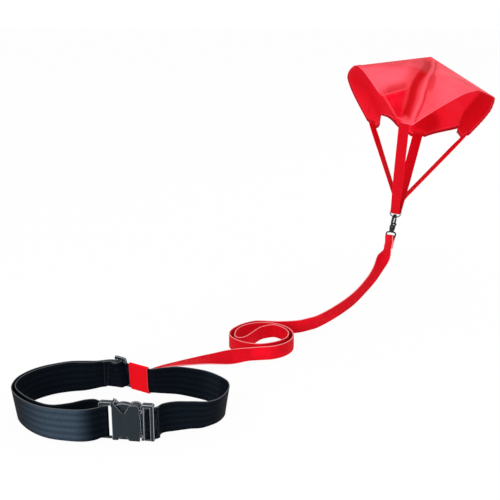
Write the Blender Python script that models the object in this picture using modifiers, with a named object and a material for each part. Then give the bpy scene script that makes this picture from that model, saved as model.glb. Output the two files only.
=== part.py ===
"""Swim parachute: a 50 mm waist belt with a side-release buckle, a 25 mm tow strap that lies in a
loose double loop, a swivel snap hook, a D-ring, two crossing canopy straps and a square canopy.

World frame: metres, +Z up, X to the right, Y away from the viewer. The origin is the middle of the
belt, half way up its webbing. Sizes below are in millimetres and angles in degrees.
"""
import bpy
import bmesh
import numpy as np
from math import atan2, cos, degrees, pi, radians, sin, tan
from mathutils import Matrix, Vector

MM = 0.001
GAP = 0.3

# Waist belt webbing
BELT_WIDTH = 50.0
BELT_THICK = 1.5
BELT_STEP = 9.0

# Side-release buckle, in its own frame: s along the belt, d towards the wearer, z up
BUCKLE_CENTRE = (25.1, -68.1)
BUCKLE_TURN = -8.0
SOCKET_HALF_DEPTH = 8.0
CAVITY_HALF_DEPTH = 5.2
PRONG_HALF_DEPTH = 4.8
SOCKET_BAR_S = -37.0
SOCKET_BAR_RADIUS = 2.2
PLUG_BAR_S = 24.5
PLUG_BAR_RADIUS = 2.2
PRONG_PIVOT = (15.5, 20.0)
PRONG_PIVOT_RADIUS = 2.0

# Tri-glide on the back of the belt
GLIDE_PLACE = 29.5
GLIDE_HALF_LENGTH = 11.2
GLIDE_SLOT_END = 8.7
GLIDE_HALF_HEIGHT = 31.5
GLIDE_THICK = 3.0
GLIDE_BAR_HALF = 1.2
GLIDE_OFFSET = 2.6

# Tow strap and the loop that carries it on the belt
LOOP_CENTRE = (18.86, 80.48)
LOOP_LEAN = (0.0, -8.0)
LOOP_ALONG = (-33.0, 20.0)
LOOP_TAPE_WIDTH = 36.0
LOOP_THICK = 1.5
TOW_WIDTH = 25.0
TOW_THICK = 2.0
TOW_STEP = 4.0
COIL_CENTRE = (216.0, 259.0)
COIL_HEIGHT = -12.5

# Parachute frame: the middle of the D-ring's straight bar, and the lean of the towing axis
RING_POS = (481.0, 517.0, 149.0)
LEAN_RIGHT = 13.5
LEAN_BACK = 18.7

# Swivel snap hook, below the D-ring bar
HOOK_TURN = -42.0
EYE_TURN = -61.0
BOW_Z = -7.3
BOW_WIRE = 1.9
GATE_PIVOT = (5.0, -24.6)
HOOK_BASE_BOTTOM = -37.5
POST_RADIUS = 2.0
POST_END_Z = -41.0
EYE_BAR_Z = -50.5
EYE_TOP_Z = -40.8
TOW_END_Z = -64.0
EYE_WIRE = 1.5
EYE_HALF_WIDTH = 14.8

# D-ring
RING_WIRE = 1.2
RING_HALF_WIDTH = 12.5
RING_CORNER = 1.8
RING_DROP = 10.9

# Canopy: a 353 mm square of coated cloth and 20 mm tapes
CANOPY_SIDE = 353.0
CANOPY_THICK = 0.8
CANOPY_CELLS = 23
STRAP_WIDTH = 20.0
STRAP_THICK = 1.2

PLASTIC = (0.018, 0.026, 0.034)
WEBBING = (0.006, 0.009, 0.013)
RED_TAPE = (0.80, 0.004, 0.02)
RED_CLOTH = (0.90, 0.03, 0.07)
BLACK_METAL = (0.02, 0.02, 0.022)
STEEL = (0.55, 0.56, 0.58)


# Scene and small helpers

for old in list(bpy.data.objects):
    bpy.data.objects.remove(old, do_unlink=True)

parts = bpy.data.collections.new("swim_parachute")
tools = bpy.data.collections.new("cutters")
bpy.context.scene.collection.children.link(parts)
bpy.context.scene.collection.children.link(tools)


def material(name, colour, roughness, metallic=0.0):
    """A Principled material of one colour."""
    made = bpy.data.materials.new(name)
    made.use_nodes = True
    shader = made.node_tree.nodes["Principled BSDF"]
    shader.inputs["Base Color"].default_value = (*colour, 1.0)
    shader.inputs["Roughness"].default_value = roughness
    shader.inputs["Metallic"].default_value = metallic
    return made


def empty(name, matrix):
    """An empty that carries the pieces of one frame."""
    made = bpy.data.objects.new(name, None)
    parts.objects.link(made)
    made.matrix_world = matrix
    return made


def frame_matrix(origin, x_axis, y_axis, z_axis):
    """The matrix of a frame, from its origin in millimetres and its three unit axes."""
    made = Matrix.Identity(4)
    for column, axis in enumerate((x_axis, y_axis, z_axis)):
        for row in range(3):
            made[row][column] = axis[row]
    for row in range(3):
        made[row][3] = origin[row] * MM
    return made


def unit(vector):
    """The vector at length one."""
    vector = np.asarray(vector, float)
    return vector / np.linalg.norm(vector)


def add_object(name, data, finish, parent=None, group=parts):
    """Puts mesh or curve data into the scene under its parent's frame."""
    made = bpy.data.objects.new(name, data)
    group.objects.link(made)
    if finish is not None:
        data.materials.append(finish)
    if parent is not None:
        made.parent = parent
    return made


def smooth(rows, step, cyclic=False):
    """Evenly spaced points of a centripetal Catmull-Rom curve through the rows: each span is a cubic
    whose end slopes weigh the neighbouring spans by the square roots of their lengths."""
    rows = np.asarray(rows, float)
    if cyclic:
        padded = np.vstack([rows[-1:], rows, rows[:2]])
    else:
        padded = np.vstack([2 * rows[0] - rows[1], rows, 2 * rows[-1] - rows[-2]])
    span = np.linalg.norm(np.diff(padded[:, :3], axis=0), axis=1) ** 0.5
    t = np.linspace(0, 1, 24, endpoint=False)[:, None]
    fine = []
    for i in range(len(padded) - 3):
        a, b, c, d = padded[i:i + 4]
        before, own, after = span[i:i + 3]
        slope_b = own * ((b - a) / before - (c - a) / (before + own)) + c - b
        slope_c = own * ((d - c) / after - (d - b) / (own + after)) + c - b
        fine.append(b + slope_b * t + (3 * (c - b) - 2 * slope_b - slope_c) * t ** 2
                    + (2 * (b - c) + slope_b + slope_c) * t ** 3)
    fine = np.vstack(fine + [padded[-2][None]])
    length = np.concatenate([[0.0], np.cumsum(np.linalg.norm(np.diff(fine[:, :3], axis=0), axis=1))])
    count = max(2, round(length[-1] / step) + 1)
    places = np.linspace(0.0, length[-1], count)
    even = np.stack([np.interp(places, length, fine[:, k]) for k in range(fine.shape[1])], axis=1)
    return even[:-1] if cyclic else even


def tape(name, points, widths, width, thick, finish, parent=None, resolution=0):
    """A flat tape: a curve extruded across its width and turned at each point so that its width
    follows the given directions. The turn is measured from the upright made square to the path."""
    points = np.asarray(points, float)
    steps = np.diff(points, axis=0)
    steps /= np.linalg.norm(steps, axis=1)[:, None]
    ahead = np.vstack([steps[:1], steps[:-1] + steps[1:], steps[-1:]])
    ahead /= np.linalg.norm(ahead, axis=1)[:, None]
    upright = np.array([0.0, 0.0, 1.0]) - ahead * ahead[:, 2:3]
    upright /= np.linalg.norm(upright, axis=1)[:, None]
    sideways = np.cross(ahead, upright)
    turns = np.unwrap(np.arctan2((widths * sideways).sum(1), (widths * upright).sum(1)), period=pi)
    curve = bpy.data.curves.new(name, "CURVE")
    curve.dimensions = "3D"
    curve.twist_mode = "Z_UP"
    curve.bevel_depth = thick / 2 * MM
    curve.bevel_resolution = resolution
    curve.extrude = (width - thick) / 2 * MM
    curve.use_fill_caps = True
    spline = curve.splines.new("POLY")
    spline.points.add(len(points) - 1)
    for knot, point, turn in zip(spline.points, points * MM, turns):
        knot.co = (*point, 1.0)
        knot.tilt = turn
    return add_object(name, curve, finish, parent)


def wire(name, points, radius, finish, parent=None, cyclic=False, resolution=2):
    """A round wire along the points."""
    curve = bpy.data.curves.new(name, "CURVE")
    curve.dimensions = "3D"
    curve.bevel_depth = radius * MM
    curve.bevel_resolution = resolution
    curve.use_fill_caps = not cyclic
    spline = curve.splines.new("POLY")
    spline.points.add(len(points) - 1)
    for knot, point in zip(spline.points, points):
        knot.co = (point[0] * MM, point[1] * MM, point[2] * MM, 1.0)
    spline.use_cyclic_u = cyclic
    return add_object(name, curve, finish, parent)


def to_mesh(made):
    """Turns a curve object into a mesh object with its caps welded on."""
    graph = bpy.context.evaluated_depsgraph_get()
    mesh = bpy.data.meshes.new_from_object(made.evaluated_get(graph))
    form = bmesh.new()
    form.from_mesh(mesh)
    bmesh.ops.remove_doubles(form, verts=form.verts, dist=0.00001)
    bmesh.ops.recalc_face_normals(form, faces=form.faces)
    form.to_mesh(mesh)
    form.free()
    name, parent, group = made.name, made.parent, made.users_collection[0]
    place = made.matrix_basis.copy()
    bpy.data.objects.remove(made, do_unlink=True)
    fresh = bpy.data.objects.new(name, mesh)
    group.objects.link(fresh)
    fresh.parent = parent
    fresh.matrix_basis = place
    return fresh


def arc(centre, radius, start, end, count):
    """Points on an arc in a plane, from the start angle to the end angle."""
    angles = np.radians(np.linspace(start, end, count))
    return [(centre[0] + radius * cos(a), centre[1] + radius * sin(a)) for a in angles]


UPRIGHT_PLANE = Matrix(((1, 0, 0, 0), (0, 0, -1, 0), (0, 1, 0, 0), (0, 0, 0, 1)))


def plate(name, outlines, near, far, finish, parent=None, bevel=0.0, group=parts):
    """A plate cut to 2D outlines in the X-Z plane of its frame, from depth near to depth far along
    that frame's Y, with its edges rounded by the curve's own bevel. Later outlines are holes."""
    curve = bpy.data.curves.new(name, "CURVE")
    curve.dimensions = "2D"
    curve.fill_mode = "BOTH"
    curve.extrude = ((far - near) / 2 - bevel) * MM
    curve.bevel_depth = bevel * MM
    curve.offset = -bevel * MM
    curve.bevel_resolution = 1
    for outline in outlines:
        spline = curve.splines.new("POLY")
        spline.points.add(len(outline) - 1)
        for knot, point in zip(spline.points, outline):
            knot.co = (point[0] * MM, point[1] * MM, 0.0, 1.0)
        spline.use_cyclic_u = True
    made = add_object(name, curve, finish, parent, group)
    made.matrix_basis = Matrix.Translation((0, (near + far) / 2 * MM, 0)) @ UPRIGHT_PLANE
    return to_mesh(made)


def block(name, low, high, finish=None, parent=None, group=parts):
    """A box between two corners of its frame."""
    mesh = bpy.data.meshes.new(name)
    form = bmesh.new()
    bmesh.ops.create_cube(form, size=1.0)
    size = [(b - a) * MM for a, b in zip(low, high)]
    middle = [(a + b) / 2 * MM for a, b in zip(low, high)]
    bmesh.ops.scale(form, vec=size, verts=form.verts)
    form.to_mesh(mesh)
    form.free()
    made = add_object(name, mesh, finish, parent, group)
    made.location = middle
    return made


def rod(name, start, end, radius, finish=None, parent=None, sides=16, group=parts):
    """A round rod between two points of its frame."""
    start, end = Vector(start) * MM, Vector(end) * MM
    mesh = bpy.data.meshes.new(name)
    form = bmesh.new()
    bmesh.ops.create_cone(form, cap_ends=True, segments=sides, radius1=radius * MM, radius2=radius * MM,
                          depth=(end - start).length)
    form.to_mesh(mesh)
    form.free()
    made = add_object(name, mesh, finish, parent, group)
    made.rotation_mode = "QUATERNION"
    made.rotation_quaternion = (end - start).to_track_quat("Z", "Y")
    made.location = (start + end) / 2
    return made


def boolean(target, other, operation):
    """Joins or cuts a piece with another, which becomes a hidden guide."""
    other.hide_render = True
    other.display_type = "WIRE"
    for group in list(other.users_collection):
        group.objects.unlink(other)
    tools.objects.link(other)
    change = target.modifiers.new(operation.lower(), "BOOLEAN")
    change.object = other
    change.operation = operation
    change.solver = "EXACT"


def rounded(points, radius, count=4):
    """An outline with each corner replaced by an arc-like curve that starts at the radius from it."""
    points = [Vector(p) for p in points]
    made = []
    for i, corner in enumerate(points):
        before, after = points[i - 1], points[(i + 1) % len(points)]
        reach = min(radius, (before - corner).length * 0.45, (after - corner).length * 0.45)
        first = corner + (before - corner).normalized() * reach
        last = corner + (after - corner).normalized() * reach
        for k in range(count + 1):
            t = k / count
            made.append(tuple(first * (1 - t) ** 2 + corner * 2 * t * (1 - t) + last * t * t))
    return made


# Finishes

plastic = material("moulded_plastic", PLASTIC, 0.35)
webbing = material("black_webbing", WEBBING, 0.7)
red_tape = material("red_tape", RED_TAPE, 0.6)
red_cloth = material("red_cloth", RED_CLOTH, 0.45)
black_metal = material("black_metal", BLACK_METAL, 0.3, 0.6)
steel = material("plated_steel", STEEL, 0.2, 1.0)


# Frames

upward = np.array([0.0, 0.0, 1.0])
buckle_along = np.array([cos(radians(BUCKLE_TURN)), sin(radians(BUCKLE_TURN)), 0.0])
buckle_back = np.array([-buckle_along[1], buckle_along[0], 0.0])
buckle_frame = empty("buckle_frame", frame_matrix((*BUCKLE_CENTRE, 0.0), buckle_along, buckle_back, upward))


def at_buckle(s, d):
    """World plan point of a place in the buckle's frame."""
    return tuple(np.array(BUCKLE_CENTRE) + s * buckle_along[:2] + d * buckle_back[:2])


def leaning_frame(along, lean):
    """Axes of a piece on the belt: along the webbing, out of the belt, and up with the webbing's lean."""
    along = unit((*along, 0.0))
    up = unit((lean[0], lean[1], BELT_WIDTH / 2))
    up = unit(up - along * (up @ along))
    return along, np.cross(along, up), up


loop_axes = leaning_frame(LOOP_ALONG, LOOP_LEAN)
glide_centre = np.array([*LOOP_CENTRE, 0.0]) + loop_axes[0] * GLIDE_PLACE

towing = unit((tan(radians(LEAN_RIGHT)), tan(radians(LEAN_BACK)), 1.0))
right_of_towing = unit(np.array([1.0, 0.0, 0.0]) - towing * towing[0])
back_of_towing = np.cross(towing, right_of_towing)
parachute_frame = empty("parachute_frame", frame_matrix(RING_POS, right_of_towing, back_of_towing, towing))


def turned_frame(name, turn):
    """The parachute frame turned about the towing axis."""
    x_axis = right_of_towing * cos(radians(turn)) + back_of_towing * sin(radians(turn))
    return empty(name, frame_matrix(RING_POS, x_axis, np.cross(towing, x_axis), towing))


hook_frame = turned_frame("hook_frame", HOOK_TURN)
eye_frame = turned_frame("eye_frame", EYE_TURN)


# Waist belt webbing: one length from the plug's bar round the back to the tri-glide, on to the
# socket's bar, round it, and back inside as a second layer to the tri-glide's centre bar.
# Each row is the place half way up the webbing and the lean of its upper edge from there.

def buckle_row(s, d, lean_x=0.0, lean_y=0.0):
    """A row at a place along and across the buckle."""
    return (*at_buckle(s, d), 0.0, lean_x, lean_y)


def glide_row(e, d):
    """A row at a place along and out from the tri-glide, in its leaning frame."""
    along, out, up = loop_axes
    lean = up[:2] / up[2] * BELT_WIDTH / 2
    return (*(glide_centre + e * along + d * out), *lean)


def waist_rows(*rows):
    """Rows half way up, from plan places and leans."""
    return [(x, y, 0.0, lean_x, lean_y) for x, y, lean_x, lean_y in rows]


plug_turn = PLUG_BAR_RADIUS + GAP + BELT_THICK / 2 + 0.1
socket_turn = SOCKET_BAR_RADIUS + GAP + BELT_THICK / 2 + 0.1
glide_turn = GLIDE_THICK / 2 + GAP + BELT_THICK / 2 + 0.5

plug_end = [buckle_row(40.5, 5.9), buckle_row(37.4, 2.2), buckle_row(33.8, -0.4), buckle_row(31.0, -1.0),
            buckle_row(29.0, -1.05), buckle_row(27.4, -2.0)]
plug_end += [buckle_row(*p) for p in arc((PLUG_BAR_S, 0.0), plug_turn, -75, -285, 8)]
plug_end += [buckle_row(27.4, 2.2), buckle_row(30.2, 1.1), buckle_row(33.2, 2.0),
             buckle_row(36.4, 4.8, 0.5, -0.5)]

round_waist = waist_rows(
    (70.0, -56.0, 1.0, -2.0), (86.0, -50.0, 2.0, -1.5), (108.0, -46.5, 3.5, -4.0), (132.0, -44.0, 4.5, -5.5),
    (149.0, -31.0, 4.0, -6.0), (160.5, -5.0, 4.0, -2.0), (160.0, 14.0, 3.0, 0.0), (153.0, 27.0, 2.0, 1.0),
    (131.0, 49.0, 0.0, 1.5), (104.0, 62.5, 0.0, 0.0), (82.0, 69.5, 0.0, -2.0), (58.0, 69.5, 0.0, -5.0),
    (41.0, 68.6, 0.0, -7.5))
round_waist += [glide_row(e, 0.0) for e in (-47.7, -38.9, -29.5, -20.1, -11.8)]

over_glide = [glide_row(-9.2, 0.0), glide_row(-7.3, 0.3), glide_row(-5.6, 3.0), glide_row(-3.6, 6.8),
              glide_row(0.0, 7.9), glide_row(3.6, 6.8), glide_row(5.6, 3.0), glide_row(7.3, 0.3),
              glide_row(9.2, -0.1), glide_row(12.0, -0.2)]

outer_left = waist_rows(
    (-22.5, 102.6, 0.0, -6.8), (-31.0, 99.8, 0.0, -5.5), (-46.0, 94.0, 0.0, -4.0), (-66.0, 90.5, 0.0, -1.0),
    (-87.0, 87.0, 0.0, 1.5), (-108.0, 80.0, 0.0, 0.5), (-126.0, 70.5, -0.5, 0.0), (-144.0, 54.0, 0.0, 1.0),
    (-156.0, 30.0, -2.0, 1.0), (-158.0, 3.0, -3.0, 0.0), (-151.5, -18.0, -3.5, 0.0),
    (-129.0, -47.5, -4.0, 1.0), (-100.5, -68.0, -3.5, 1.0), (-66.0, -77.5, -2.0, 0.8),
    (-42.0, -79.0, -0.5, 1.0), (-27.0, -74.5, 0.0, 1.0))

socket_bend = [buckle_row(-43.5, -6.6), buckle_row(-40.2, -4.4)]
socket_bend += [buckle_row(*p) for p in arc((SOCKET_BAR_S, 0.0), socket_turn, -105, 105, 9)]
socket_bend += [buckle_row(-40.2, 4.4), buckle_row(-43.5, 7.6)]

inner_left = waist_rows(
    (-22.5, -49.0, 0.0, 0.0), (-31.0, -44.0, 0.0, 0.0), (-43.0, -46.0, 0.0, 0.0), (-65.0, -58.0, 0.0, 1.0),
    (-89.0, -63.0, -1.5, 1.0), (-118.0, -46.0, -3.0, 1.0), (-145.0, -14.0, -3.5, 0.0),
    (-153.0, 4.0, -3.0, 0.0), (-151.5, 28.0, -2.0, 1.0), (-140.0, 51.0, 0.0, 1.0),
    (-123.5, 66.0, -0.5, 0.0), (-106.5, 76.0, 0.0, 0.5), (-86.0, 83.5, 0.0, 1.5),
    (-66.0, 85.0, 0.0, -1.0), (-50.0, 89.2, 0.0, -3.5), (-38.0, 94.0, 0.0, -5.0),
    (-28.0, 96.8, -1.5, -6.3))

glide_end = [glide_row(12.5, -5.3), glide_row(7.2, -4.9), glide_row(4.6, -3.4), glide_row(4.0, -0.8)]
glide_end += [glide_row(*p) for p in arc((0.0, GLIDE_OFFSET), glide_turn, 10, 250, 9)]
glide_end += [glide_row(0.6, -3.2), glide_row(3.0, -6.3), glide_row(7.4, -7.4), glide_row(12.5, -8.0)]
glide_end += waist_rows((-29.0, 94.9, -1.5, -6.3), (-38.6, 91.9, 0.0, -5.6))

belt_route = smooth(plug_end + round_waist + over_glide + outer_left + socket_bend + inner_left + glide_end,
                    1.0)


def thin_out(rows, fine, coarse, bend):
    """Keeps the rows of a finely spaced route that its bends need: the step is coarse on straight
    stretches and fine where the path turns by more than the bend angle over a coarse step."""
    ahead = np.gradient(rows[:, :2], axis=0)
    heading = np.unwrap(np.arctan2(ahead[:, 1], ahead[:, 0]))
    kept = [0]
    for i in range(1, len(rows) - 1):
        walked = i - kept[-1]
        turned = abs(degrees(heading[i] - heading[kept[-1]]))
        if walked >= coarse or (walked >= fine and turned > bend):
            kept.append(i)
    return rows[kept + [len(rows) - 1]]


belt_rows = thin_out(belt_route, 1, BELT_STEP, 9.0)
belt_widths = np.column_stack([belt_rows[:, 3:5], np.full(len(belt_rows), BELT_WIDTH / 2)])
tape("belt_webbing", belt_rows[:, :3], belt_widths, BELT_WIDTH, BELT_THICK, webbing)


# Tri-glide: a flat frame with a centre bar that holds the sewn end of the webbing

glide_frame = empty("glide_frame", frame_matrix(glide_centre, loop_axes[0], -loop_axes[1], loop_axes[2]))
glide_near = GLIDE_OFFSET - GLIDE_THICK / 2
glide_far = GLIDE_OFFSET + GLIDE_THICK / 2
glide_outline = rounded([(sx * GLIDE_HALF_LENGTH, sz * GLIDE_HALF_HEIGHT)
                         for sx, sz in ((-1, -1), (1, -1), (1, 1), (-1, 1))], 4.0)
slot_half_height = BELT_WIDTH / 2 + 1.0
glide_slots = [[(sign * GLIDE_BAR_HALF, -slot_half_height), (sign * GLIDE_SLOT_END, -slot_half_height),
                (sign * GLIDE_SLOT_END, slot_half_height), (sign * GLIDE_BAR_HALF, slot_half_height)]
               for sign in (-1, 1)]
plate("tri_glide", [glide_outline] + glide_slots, -glide_far, -glide_near, plastic, glide_frame, bevel=0.5)


# Buckle socket: a flat hollow shell with thumb scoops over its side windows, an open mouth, and a
# frame with a bar for the webbing

scoop_top = [(-24.0, 30.0), (-19.5, 25.0), (-14.5, 18.5), (-10.0, 15.5), (-6.0, 16.5), (-2.5, 21.5),
             (0.5, 27.0)]
half_outline = [(-46.5, 25.9), (-46.5, 29.0), (-43.5, 31.0), (-27.0, 31.0)] + scoop_top
half_outline += [(4.0, 28.4), (10.5, 28.4), (12.8, 26.0), (13.2, 9.5), (14.6, 8.5)]
socket_outline = half_outline + [(x, -z) for x, z in reversed(half_outline)]
socket_outline = rounded(socket_outline, 1.6, 2)
frame_slot = rounded([(-43.5, -26.0), (-26.9, -26.0), (-26.9, 26.0), (-43.5, 26.0)], 1.5, 2)
socket = plate("buckle_socket", [socket_outline, frame_slot], -SOCKET_HALF_DEPTH, SOCKET_HALF_DEPTH, plastic,
               buckle_frame, bevel=2.0)
boolean(socket, block("socket_cavity", (-24.2, -CAVITY_HALF_DEPTH, -24.6), (20.0, CAVITY_HALF_DEPTH, 24.6),
                      parent=buckle_frame), "DIFFERENCE")
for side in (-1, 1):
    low, high = sorted((side * 20.0, side * 40.0))
    boolean(socket, block("socket_window", (-24.2, -CAVITY_HALF_DEPTH, low), (2.2, CAVITY_HALF_DEPTH, high),
                          parent=buckle_frame), "DIFFERENCE")
for near, far in ((-20.0, -4.4), (4.4, 20.0)):
    boolean(socket, block("frame_step", (-60.0, near, -40.0), (-27.6, far, 40.0), parent=buckle_frame),
            "DIFFERENCE")
boolean(socket, rod("socket_bar", (SOCKET_BAR_S, 0, -27.0), (SOCKET_BAR_S, 0, 27.0), SOCKET_BAR_RADIUS,
                    parent=buckle_frame), "UNION")


# Buckle plug: a frame for the webbing with a guide tongue, and two spring prongs at its root

def prong_outline(side):
    """Root disc, springy arm, and the pad that fills the side window behind the latching shoulder."""
    pivot_s, pivot_z = PRONG_PIVOT
    root = arc((pivot_s, pivot_z), PRONG_PIVOT_RADIUS, -120, 120, 8)
    pad = [(9.0, 21.9), (2.4, 22.2), (1.2, 23.6), (0.8, 28.0), (-2.0, 29.6), (-7.0, 30.6), (-12.0, 30.6),
           (-17.0, 29.4), (-21.5, 26.8), (-23.6, 24.0), (-23.4, 21.0), (-20.0, 19.6), (-10.0, 18.6),
           (2.0, 17.8), (9.0, 18.1)]
    return [(s, side * z) for s, z in root + pad]


def plug_frame_outline():
    """The plug's frame with the notches that seat the prong roots, and its guide tongue."""
    pivot_s, pivot_z = PRONG_PIVOT
    notch = arc((pivot_s, pivot_z), PRONG_PIVOT_RADIUS + GAP + 0.05, 100, -100, 9)
    upper = [(-19.0, 3.0), (-16.0, 5.0), (12.0, 6.5), (15.2, 8.5)]
    upper += [(15.2, 16.0)] + [p for p in reversed(notch)] + [(15.2, 24.0), (15.2, 27.5), (18.0, 30.5)]
    upper += [(32.5, 30.5), (34.5, 28.0)]
    return upper + [(s, -z) for s, z in reversed(upper)]


plug_slot = [(20.0, -25.9), (28.9, -25.9), (28.9, 25.9), (20.0, 25.9)]
plug = plate("buckle_plug", [plug_frame_outline(), plug_slot], -PRONG_HALF_DEPTH, PRONG_HALF_DEPTH, plastic,
             buckle_frame, bevel=0.8)
boolean(plug, block("plug_end_relief", (28.0, -2.2, -25.9), (40.0, 20.0, 25.9), parent=buckle_frame),
        "DIFFERENCE")
boolean(plug, rod("plug_bar", (PLUG_BAR_S, 0, -27.0), (PLUG_BAR_S, 0, 27.0), PLUG_BAR_RADIUS,
                  parent=buckle_frame), "UNION")

for prong_name, side in (("buckle_prong_upper", 1), ("buckle_prong_lower", -1)):
    prong = plate(prong_name, [prong_outline(side)], -PRONG_HALF_DEPTH + 0.4, PRONG_HALF_DEPTH - 0.4, plastic,
                  buckle_frame, bevel=0.6)
    pivot = Vector((PRONG_PIVOT[0] * MM, 0.0, side * PRONG_PIVOT[1] * MM))
    prong.data.transform(Matrix.Translation(-pivot) @ prong.matrix_basis)
    prong.matrix_basis = Matrix.Translation(pivot)


# Tow loop: a closed band of tape round the webbing, seen end on as a long ring with round ends

loop_frame = empty("loop_frame", frame_matrix((*LOOP_CENTRE, 0.0), loop_axes[1], -loop_axes[0], loop_axes[2]))
ring_centre_z = BELT_WIDTH / 2 - 0.4
inner_half = BELT_THICK / 2 + GAP + 0.15
outer_half = inner_half + LOOP_THICK


def long_ring(half):
    """An outline of two straight sides and two half-round ends."""
    return arc((0.0, ring_centre_z), half, 0, 180, 9) + arc((0.0, -ring_centre_z), half, 180, 360, 9)


plate("tow_loop", [long_ring(outer_half), long_ring(inner_half)], -LOOP_TAPE_WIDTH / 2, LOOP_TAPE_WIDTH / 2,
      red_tape, loop_frame)


# Tow strap. Rows give the centre line and how far the tape's width is turned from upright. It
# leaves the loop flat, twists on edge, lies in a double loop that never crosses, and rises,
# twisting again, to the swivel eye.

loop_exit = np.array([*LOOP_CENTRE, 0.0]) + loop_axes[1] * (outer_half + GAP)
tow_run = [(*loop_exit, 90.0), (*(loop_exit + loop_axes[1] * 9.0 + np.array([0, 0, -0.5])), 90.0),
           (36.0, 111.0, -2.0, 90.0), (55.0, 130.0, -4.0, 85.0), (85.0, 150.0, -7.0, 74.0),
           (121.0, 171.0, -10.5, 50.0), (144.0, 180.5, -12.0, 24.0), (168.0, 189.0, -12.5, 0.0),
           (191.0, 197.5, -12.5, 0.0)]

ARM_IN_RADII = (57.0, 56.0, 53.0, 46.5)
ARM_OUT_RADII = (48.0, 48.5, 46.0, 41.5, 44.0, 48.5, 56.0, 56.0, 61.5)
COIL_POINTS_PER_TURN = 24


def arm(start, end, radii):
    """One arm of the double loop: its radius eases through the given values at even angles."""
    count = round(abs(end - start) / 360 * COIL_POINTS_PER_TURN) + 1
    angles = np.radians(np.linspace(start, end, count))
    knots = np.column_stack([np.linspace(0, 1, len(radii)), radii])
    eased = smooth(np.column_stack([knots[:, :1] * 100, np.zeros(len(radii)), knots[:, 1:]]), 1.0)
    reach = np.interp(np.linspace(0, 100, count), eased[:, 0], eased[:, 2])
    return [(COIL_CENTRE[0] + r * cos(a), COIL_CENTRE[1] + r * sin(a), COIL_HEIGHT, 0.0)
            for r, a in zip(reach, angles)]


def floor_points(*plan):
    return [(x, y, COIL_HEIGHT, 0.0) for x, y in plan]


coil_rows = arm(-90.0, 172.0, ARM_IN_RADII)
coil_rows += floor_points((169.5, 255.0), (171.5, 246.5), (177.0, 242.5), (184.0, 244.0), (190.5, 250.5),
                          (197.0, 261.0), (208.0, 280.0), (217.0, 292.0))
coil_rows += arm(62.0, -262.0, ARM_OUT_RADII)


def eye_row(z):
    """A row of the strap's route on the towing axis, with its width along the bar of the eye."""
    place = np.array(RING_POS) + towing * z
    eye_bar = right_of_towing * cos(radians(EYE_TURN)) + back_of_towing * sin(radians(EYE_TURN))
    upright = unit(upward - towing * towing[2])
    turn = degrees(atan2(eye_bar @ np.cross(towing, upright), eye_bar @ upright))
    return (*place, turn)


tow_out = floor_points((250.0, 317.0), (284.0, 322.0), (303.0, 333.0))
tow_rise = [(317.0, 342.5, -12.3, 0.0), (354.0, 376.0, -6.0, 8.0), (390.0, 408.0, 7.0, 25.0),
            (415.0, 433.0, 22.5, 40.0), (434.5, 454.5, 38.5, 52.0), (450.5, 476.0, 58.0, 62.0)]
tow_rise += [eye_row(TOW_END_Z - 12.0), eye_row(TOW_END_Z - 5.0), eye_row(TOW_END_Z)]

tow_route = smooth(tow_run + coil_rows + tow_out + tow_rise, TOW_STEP)
tow_length = np.linalg.norm(np.diff(tow_route[:, :3], axis=0), axis=1).sum()


def turned_widths(rows):
    """Width directions of a tape whose turn from upright is the rows' fourth column."""
    ahead = np.gradient(rows[:, :3], axis=0)
    ahead /= np.linalg.norm(ahead, axis=1)[:, None]
    upright = np.array([0.0, 0.0, 1.0]) - ahead * ahead[:, 2:3]
    upright /= np.linalg.norm(upright, axis=1)[:, None]
    angle = np.radians(rows[:, 3:4])
    return upright * np.cos(angle) + np.cross(ahead, upright) * np.sin(angle)


def nearest_row(point):
    """Index of the route's row nearest to a plan point."""
    return int(np.linalg.norm(tow_route[:, :2] - np.array(point), axis=1).argmin())


coil_start = nearest_row((191.0, 197.5))
coil_end = nearest_row((250.0, 317.0))


def tow_piece(name, rows, cut_start, cut_end):
    """One stretch of the tow strap, drawn back at the ends where it meets the next stretch."""
    rows = rows.copy()
    if cut_start:
        rows[0, :3] += unit(rows[1, :3] - rows[0, :3]) * cut_start
    if cut_end:
        rows[-1, :3] += unit(rows[-2, :3] - rows[-1, :3]) * cut_end
    tape(name, rows[:, :3], turned_widths(rows), TOW_WIDTH, TOW_THICK, red_tape)


coil_stretch = tow_route[coil_start:coil_end + 1]
tow_piece("tow_strap_run", tow_route[:coil_start + 1], 0.0, GAP / 2)
tow_piece("tow_coil", coil_stretch, GAP / 2, GAP / 2)
tow_piece("tow_strap_rise", tow_route[coil_end:], GAP / 2, 0.0)

plan = smooth(coil_stretch, 1.0)[:, :2]
apart = np.linalg.norm(plan[:, None] - plan[None], axis=2)
index = np.arange(len(plan))
apart[np.abs(index[:, None] - index[None]) < 40] = 1000.0
print("tow strap length", round(float(tow_length), 1), "mm")
print("least gap between the coil's turns", round(float(apart.min()) - TOW_THICK, 2), "mm")

apart = np.linalg.norm(tow_route[:, None, :3] - tow_route[None, :, :3], axis=2)
index = np.arange(len(tow_route))
apart_along = np.abs(index[:, None] - index[None]) * TOW_STEP
close = (apart < 0.35 * TOW_WIDTH) & (apart_along > 3 * TOW_WIDTH)
print("share of the strap that lies close to itself", round(float(close.any(1).mean()), 3))


# Sewn end loop of the tow strap round the lower bar of the swivel eye. In the eye's frame X runs
# along the bar, Z along the towing axis.

end_turn = EYE_WIRE + GAP + TOW_THICK / 2 + 0.1
end_rows = [(0.0, TOW_END_Z + GAP), (-0.3, -60.5), (-1.6, -56.0)]
end_rows += arc((0.0, EYE_BAR_Z), end_turn, 200, -20, 9)
end_rows += [(2.5, -55.5), (2.0, -59.0), (2.0, -62.5)]
end_points = smooth([(0.0, y, z) for y, z in end_rows], 1.6)
end_widths = np.tile([1.0, 0.0, 0.0], (len(end_points), 1))
tape("tow_strap_end", end_points, end_widths, TOW_WIDTH, TOW_THICK, red_tape, eye_frame)


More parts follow.
